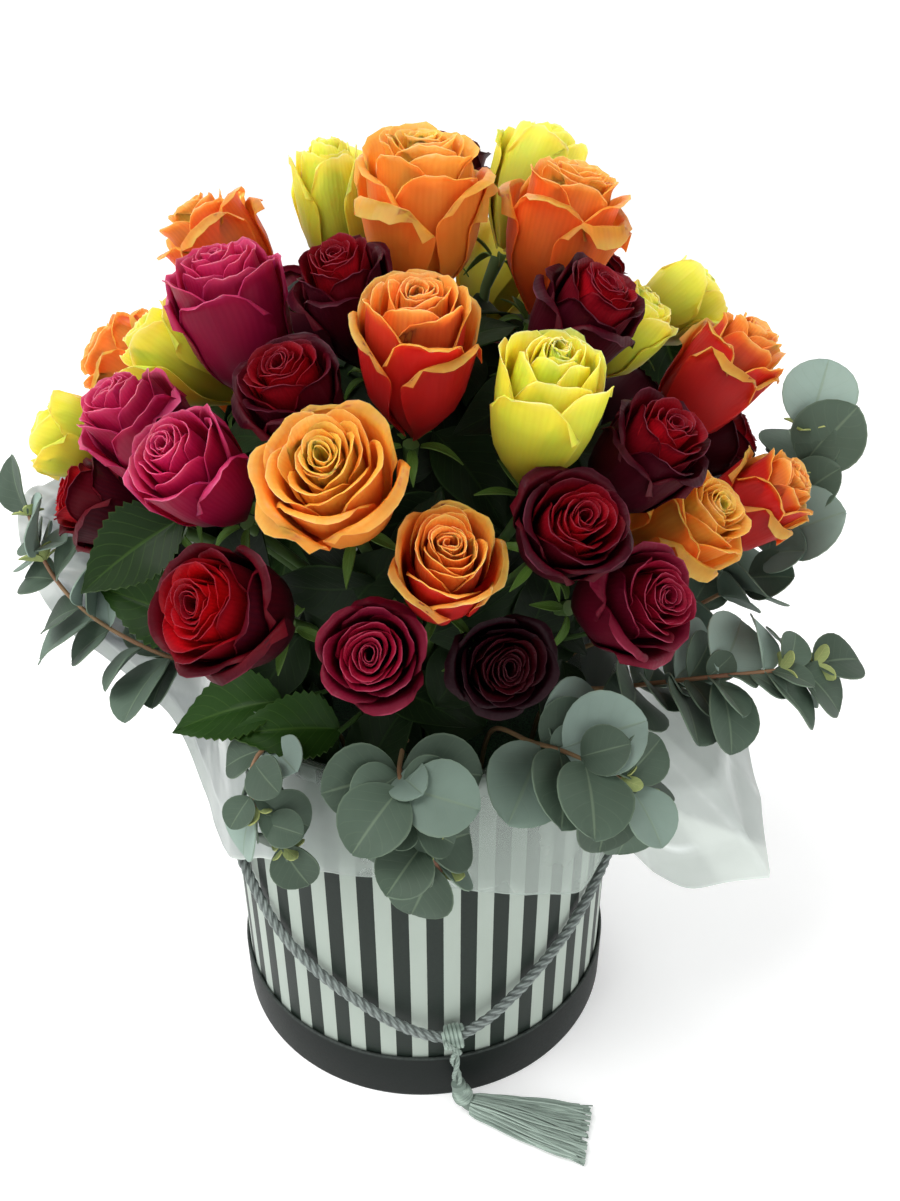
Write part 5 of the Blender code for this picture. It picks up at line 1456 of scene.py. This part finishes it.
def laid_leaf(place, along, face, length):
    """A placed leaf, turned on its foot where the table says it lies along the rim."""
    for azimuth, way, facing in LAID_LEAVES:
        if abs(math.degrees(math.atan2(place[0], -place[1])) - azimuth) < 1:
            along = unit(np.array(way))
            face = squared(facing, along)
    return place, along, face, length


saw_stations = np.linspace(0, 1, 43)
round_stations = rounded_stations(14)
laid_leaves = [laid_leaf(*leaf[1:]) for leaf in rose_leaves]
leaf_part = fine_leaves(laid_leaves, rose_profile, 0.72, 1.0, saw_stations, 13, 0.16, 21)
stalk_paths = np.array([smooth_path(leaf[0], 6) for leaf in rose_leaves])
stalk_part = tubes(stalk_paths, 1.1 * MM, 6, np.array([0.1, 0.1, 1.0]))
make_piece("rose_leaf_blades", [leaf_part], rose_green, ["rose_stems"], 80)
make_piece("rose_leaf_stalks", [stalk_part], stem_green, ["rose_stems"])


def young_leaves(name, seed):
    """Small pale leaves at a spray's tip and at one pair of its leaves, as (place, along, face, length)."""
    chance = np.random.default_rng(seed)
    line = even_points(spray_path(name, 8), 4 * MM)
    found = []
    for spot in (-1, -6):
        ahead = unit(line[spot] - line[spot - 1])
        side = unit(np.cross(ahead, (0.2, 0.1, 1.0)))
        other = np.cross(ahead, side)
        for turn in np.arange(4) * math.pi / 2 + chance.uniform(0, 1.5):
            round_way = side * math.cos(turn) + other * math.sin(turn)
            way = unit(ahead * chance.uniform(0.5, 1.2) + round_way)
            found.append((line[spot], way, squared(ahead, way), chance.uniform(6, 11) * MM))
    return found


def faced(leaf):
    """A leaf of the high right spray, turned on its foot to face the front as the photo shows it."""
    place, along, face, length = leaf
    if place[0] < 0.145:
        return leaf
    front = np.array([-0.15, -0.72, 0.68])
    return place, along, squared(front, along), length


spray_leaves["eucalyptus_right_high"] = [faced(leaf) for leaf in spray_leaves["eucalyptus_right_high"]]
for number, (name, leaves) in enumerate(spray_leaves.items()):
    blades = fine_leaves(leaves, round_profile, 0.98, 0.66, round_stations, 9, 0.0, 40 + number, 0.05)
    make_piece(name + "_leaves", [blades], spray_green, [name], 80)
    young = young_leaves(name, number)
    small = fine_leaves(young, round_profile, 0.6, 0.6, rounded_stations(8), 5, 0.0, number)
    make_piece(name + "_tips", [small], tip_green, [name], 80)
    line = even_points(spray_path(name, 8), 4 * MM)
    thin = np.linspace(1.25, 0.8, len(line))[None, :, None, None] * MM
    colour = np.zeros((1, len(line), 4))
    colour[..., 2] = np.linspace(0.0, 1.0, len(line))
    stem = tubes(line[None], thin, 8, np.array([0.3, 0.2, 1.0]), colour)
    make_piece(name + "_stem", [stem], spray_bark, [name])
print("leaf quads", len(leaf_part[1]), "on roses")

# %% [markdown]
# ## Leaves in the gaps between the heads
# Roses come with leaves on their stems, and in a full box those leaves stand up between the heads
# and close the view down to the stems. They are painted shade as well: dark leaves in a shaded copy
# of the leaf green that fill the dark between the heads. Seeded draws give places at some depth
# below the heads; a leaf stays only if all its points are clear of every head and of the leaves
# before it.

# %% Filling the gaps
FILL_DRAWS, FILL_MOST, OUTER_DRAWS, OUTER_MOST = 5200, 200, 1500, 12
chance = np.random.default_rng(19)
taken = Room()
for place, axis, radius, tall in zip(head_places, head_axes, head_radii, head_tall):
    taken.fill(place, radius * 0.97)
    taken.fill(place - axis * 0.45 * radius * tall, radius * 0.80)
    taken.fill(place - axis * BODY_DEPTH * radius * tall, radius * 0.56)
taken.fill(tight.places[2 * len(ROSES) :], 2.2 * MM)


def draw_outer():
    """A large leaf that comes out under the outside heads and droops: foot, along, face, length."""
    azimuth = chance.uniform(50, 290)
    foot = polar(azimuth, chance.uniform(66, 96) * MM, chance.uniform(204, 252) * MM)
    along = unit(polar(azimuth + chance.uniform(-55, 55), 1.0, chance.uniform(-0.7, 0.35)))
    return foot, along, facing_up(along, azimuth, 0.35), chance.uniform(40, 50) * MM


def draw_inner():
    """A leaf that faces outward at some depth below the heads, or low inside the rim."""
    low = chance.uniform(0, 1) < 0.22
    azimuth, down = chance.uniform(-180, 180), math.acos(chance.uniform(-0.25, 1.0))
    high = DOME_RISE if down < math.pi / 2 else DOME_DROP
    reach = chance.uniform(0.52, 0.93) / math.hypot(math.sin(down) / DOME_RADIUS, math.cos(down) / high)
    place = polar(azimuth, reach * math.sin(down), DOME_MIDDLE + reach * math.cos(down))
    if low:
        place = polar(azimuth, chance.uniform(52, 84) * MM, chance.uniform(196, 226) * MM)
    outward = unit(polar(azimuth, 0.7 if low else math.sin(down), 0.7 if low else math.cos(down)))
    side = unit(np.cross(outward, (0.1, 0.2, 1.0)))
    turn = chance.uniform(0, 2 * math.pi)
    along = unit(side * math.cos(turn) + np.cross(outward, side) * math.sin(turn) + 0.35 * outward)
    face = unit(outward + chance.uniform(-0.5, 0.5) * np.cross(outward, along))
    length = chance.uniform(26, 44) * MM
    return place - along * length / 2, along, squared(face, along), length


def keep_clear(draw, draws, most):
    """Draws leaves and keeps the ones that are clear of everything kept before."""
    found = []
    for _ in range(draws):
        foot, along, face, length = draw()
        spots = leaf_spots(length, 0.6 * length, ROUND_LEAF, foot, along, face, 0.8)
        if len(found) < most and taken.is_clear(spots, 0.6 * MM):
            found.append((foot, along, face, length))
            taken.fill(spots[-1], 0.17 * length)
            taken.fill(spots[-6:-1], 0.08 * length)
    return found


# Leaves where the photo shows green, or no light, between heads: foot, way along, way it faces, length
SHOWN_LEAVES = (
    ((-54, 106, 289), (-0.8, -0.52, -0.3), (0.19, -0.7, 0.69), 44),
    ((-70, 51, 277), (-0.21, -0.57, -0.8), (0.23, -0.82, 0.52), 44),
    ((33, 33, 274), (0.93, -0.21, -0.29), (0.01, -0.81, 0.59), 44),
    ((116, 117, 341), (0.31, -0.43, -0.85), (-0.28, -0.89, 0.35), 44),
)


def shown_leaf(foot, along, face, length):
    """A leaf from the table, its face squared to its length."""
    along = unit(along)
    return polar_rows([foot])[0], along, squared(face, along), length * MM


outer_leaves = [shown_leaf(*row) for row in SHOWN_LEAVES] + keep_clear(draw_outer, OUTER_DRAWS, OUTER_MOST)
gap_leaves = keep_clear(draw_inner, FILL_DRAWS, FILL_MOST)
outer_part = fine_leaves(outer_leaves, rose_profile, 0.72, 0.9, saw_stations, 11, 0.16, 22)
gap_part = fine_leaves(gap_leaves, rose_profile, 0.70, 0.8, np.linspace(0, 1, 14), 5, 0.0, 23)
make_piece("rose_outer_leaves", [outer_part], rose_green, ["rose_stems"], 80)
make_piece("rose_gap_leaves", [gap_part], gap_shade_green, ["rose_stems"], 80)
print("outer leaves", len(outer_leaves), "gap leaves", len(gap_leaves), "quads", len(gap_part[1]))

# %% [markdown]
# ## The studio
# A pale bowl stands in for the paper roll of a photo studio: its floor runs up into its wall with
# no line between them, from wherever the box is looked at. It glows as well, which is painted
# light, dimmer on its floor than up its wall. Three broad lamps keep the shadows soft.

# %% Floor and lamps
BOWL_SIDES = 96


def studio_bowl():
    """A floor that curves up into a wall: (r, 0) up to 2.2 m, then a quarter circle."""
    turn = np.linspace(0, math.pi / 2, 16)
    wide = np.concatenate([[0.5, 1.2, 2.2], 2.2 + 1.4 * np.sin(turn[1:]), [3.6]])
    high = np.concatenate([[0, 0, 0], 1.4 - 1.4 * np.cos(turn[1:]), [2.4]])
    angle = np.arange(BOWL_SIDES) * 2 * math.pi / BOWL_SIDES
    x, y = wide[:, None] * np.cos(angle), wide[:, None] * np.sin(angle)
    points = np.stack([x, y, high[:, None] + 0 * angle], -1)
    points = np.concatenate([points.reshape(-1, 3), [[0, 0, 0]]])
    ring = np.arange(BOWL_SIDES)
    faces = grid_quads(len(wide), BOWL_SIDES, wrap=True)[:, ::-1].tolist()
    faces += np.stack([ring, np.roll(ring, -1), ring * 0 + len(points) - 1], -1).tolist()
    mesh = bpy.data.meshes.new("studio_bowl")
    mesh.from_pydata(points.tolist(), [], faces)
    mesh.shade_smooth()
    # Painted light: the paper glows, half as bright on the floor as up its wall.
    finish = Paint("studio_paper_glow", Roughness=0.9, Emission_Strength=0.62)
    rise = finish.split(finish.place())[2].rise(0.0, 0.9)
    finish.feed("Emission Color", finish.mix(rise, (0.5, 0.5, 0.5, 1.0), (1.0, 1.0, 1.0, 1.0)))
    finish.feed("Base Color", rgb(238, 238, 238))
    mesh.materials.append(finish.material)
    bowl = bpy.data.objects.new("studio_bowl", mesh)
    scene.collection.objects.link(bowl)


def lamp(name, place, target, size, watts):
    """A square area lamp that faces a point."""
    light = bpy.data.lights.new(name, "AREA")
    light.size, light.energy = size, watts
    stand = bpy.data.objects.new(name, light)
    stand.location = place
    aim = np.array(target) - place
    flat = math.hypot(aim[0], aim[1])
    stand.rotation_euler = (math.atan2(flat, -aim[2]), 0, math.atan2(aim[1], aim[0]) - math.pi / 2)
    scene.collection.objects.link(stand)


studio_bowl()
lamp("key", (-0.7, -0.45, 1.7), (0, 0, 0.22), 1.0, 26)
lamp("fill", (0.9, -1.2, 1.0), (0, 0, 0.2), 1.2, 4)
lamp("back", (-0.3, 1.3, 1.4), (0, 0, 0.2), 1.2, 9)
world = bpy.data.worlds.new("studio_air")
world.use_nodes = True
world.node_tree.nodes["Background"].inputs[0].default_value = (1.0, 1.0, 1.0, 1.0)
world.node_tree.nodes["Background"].inputs[1].default_value = 0.25
scene.world = world
scene.view_settings.view_transform = "Standard"
print("studio ready")
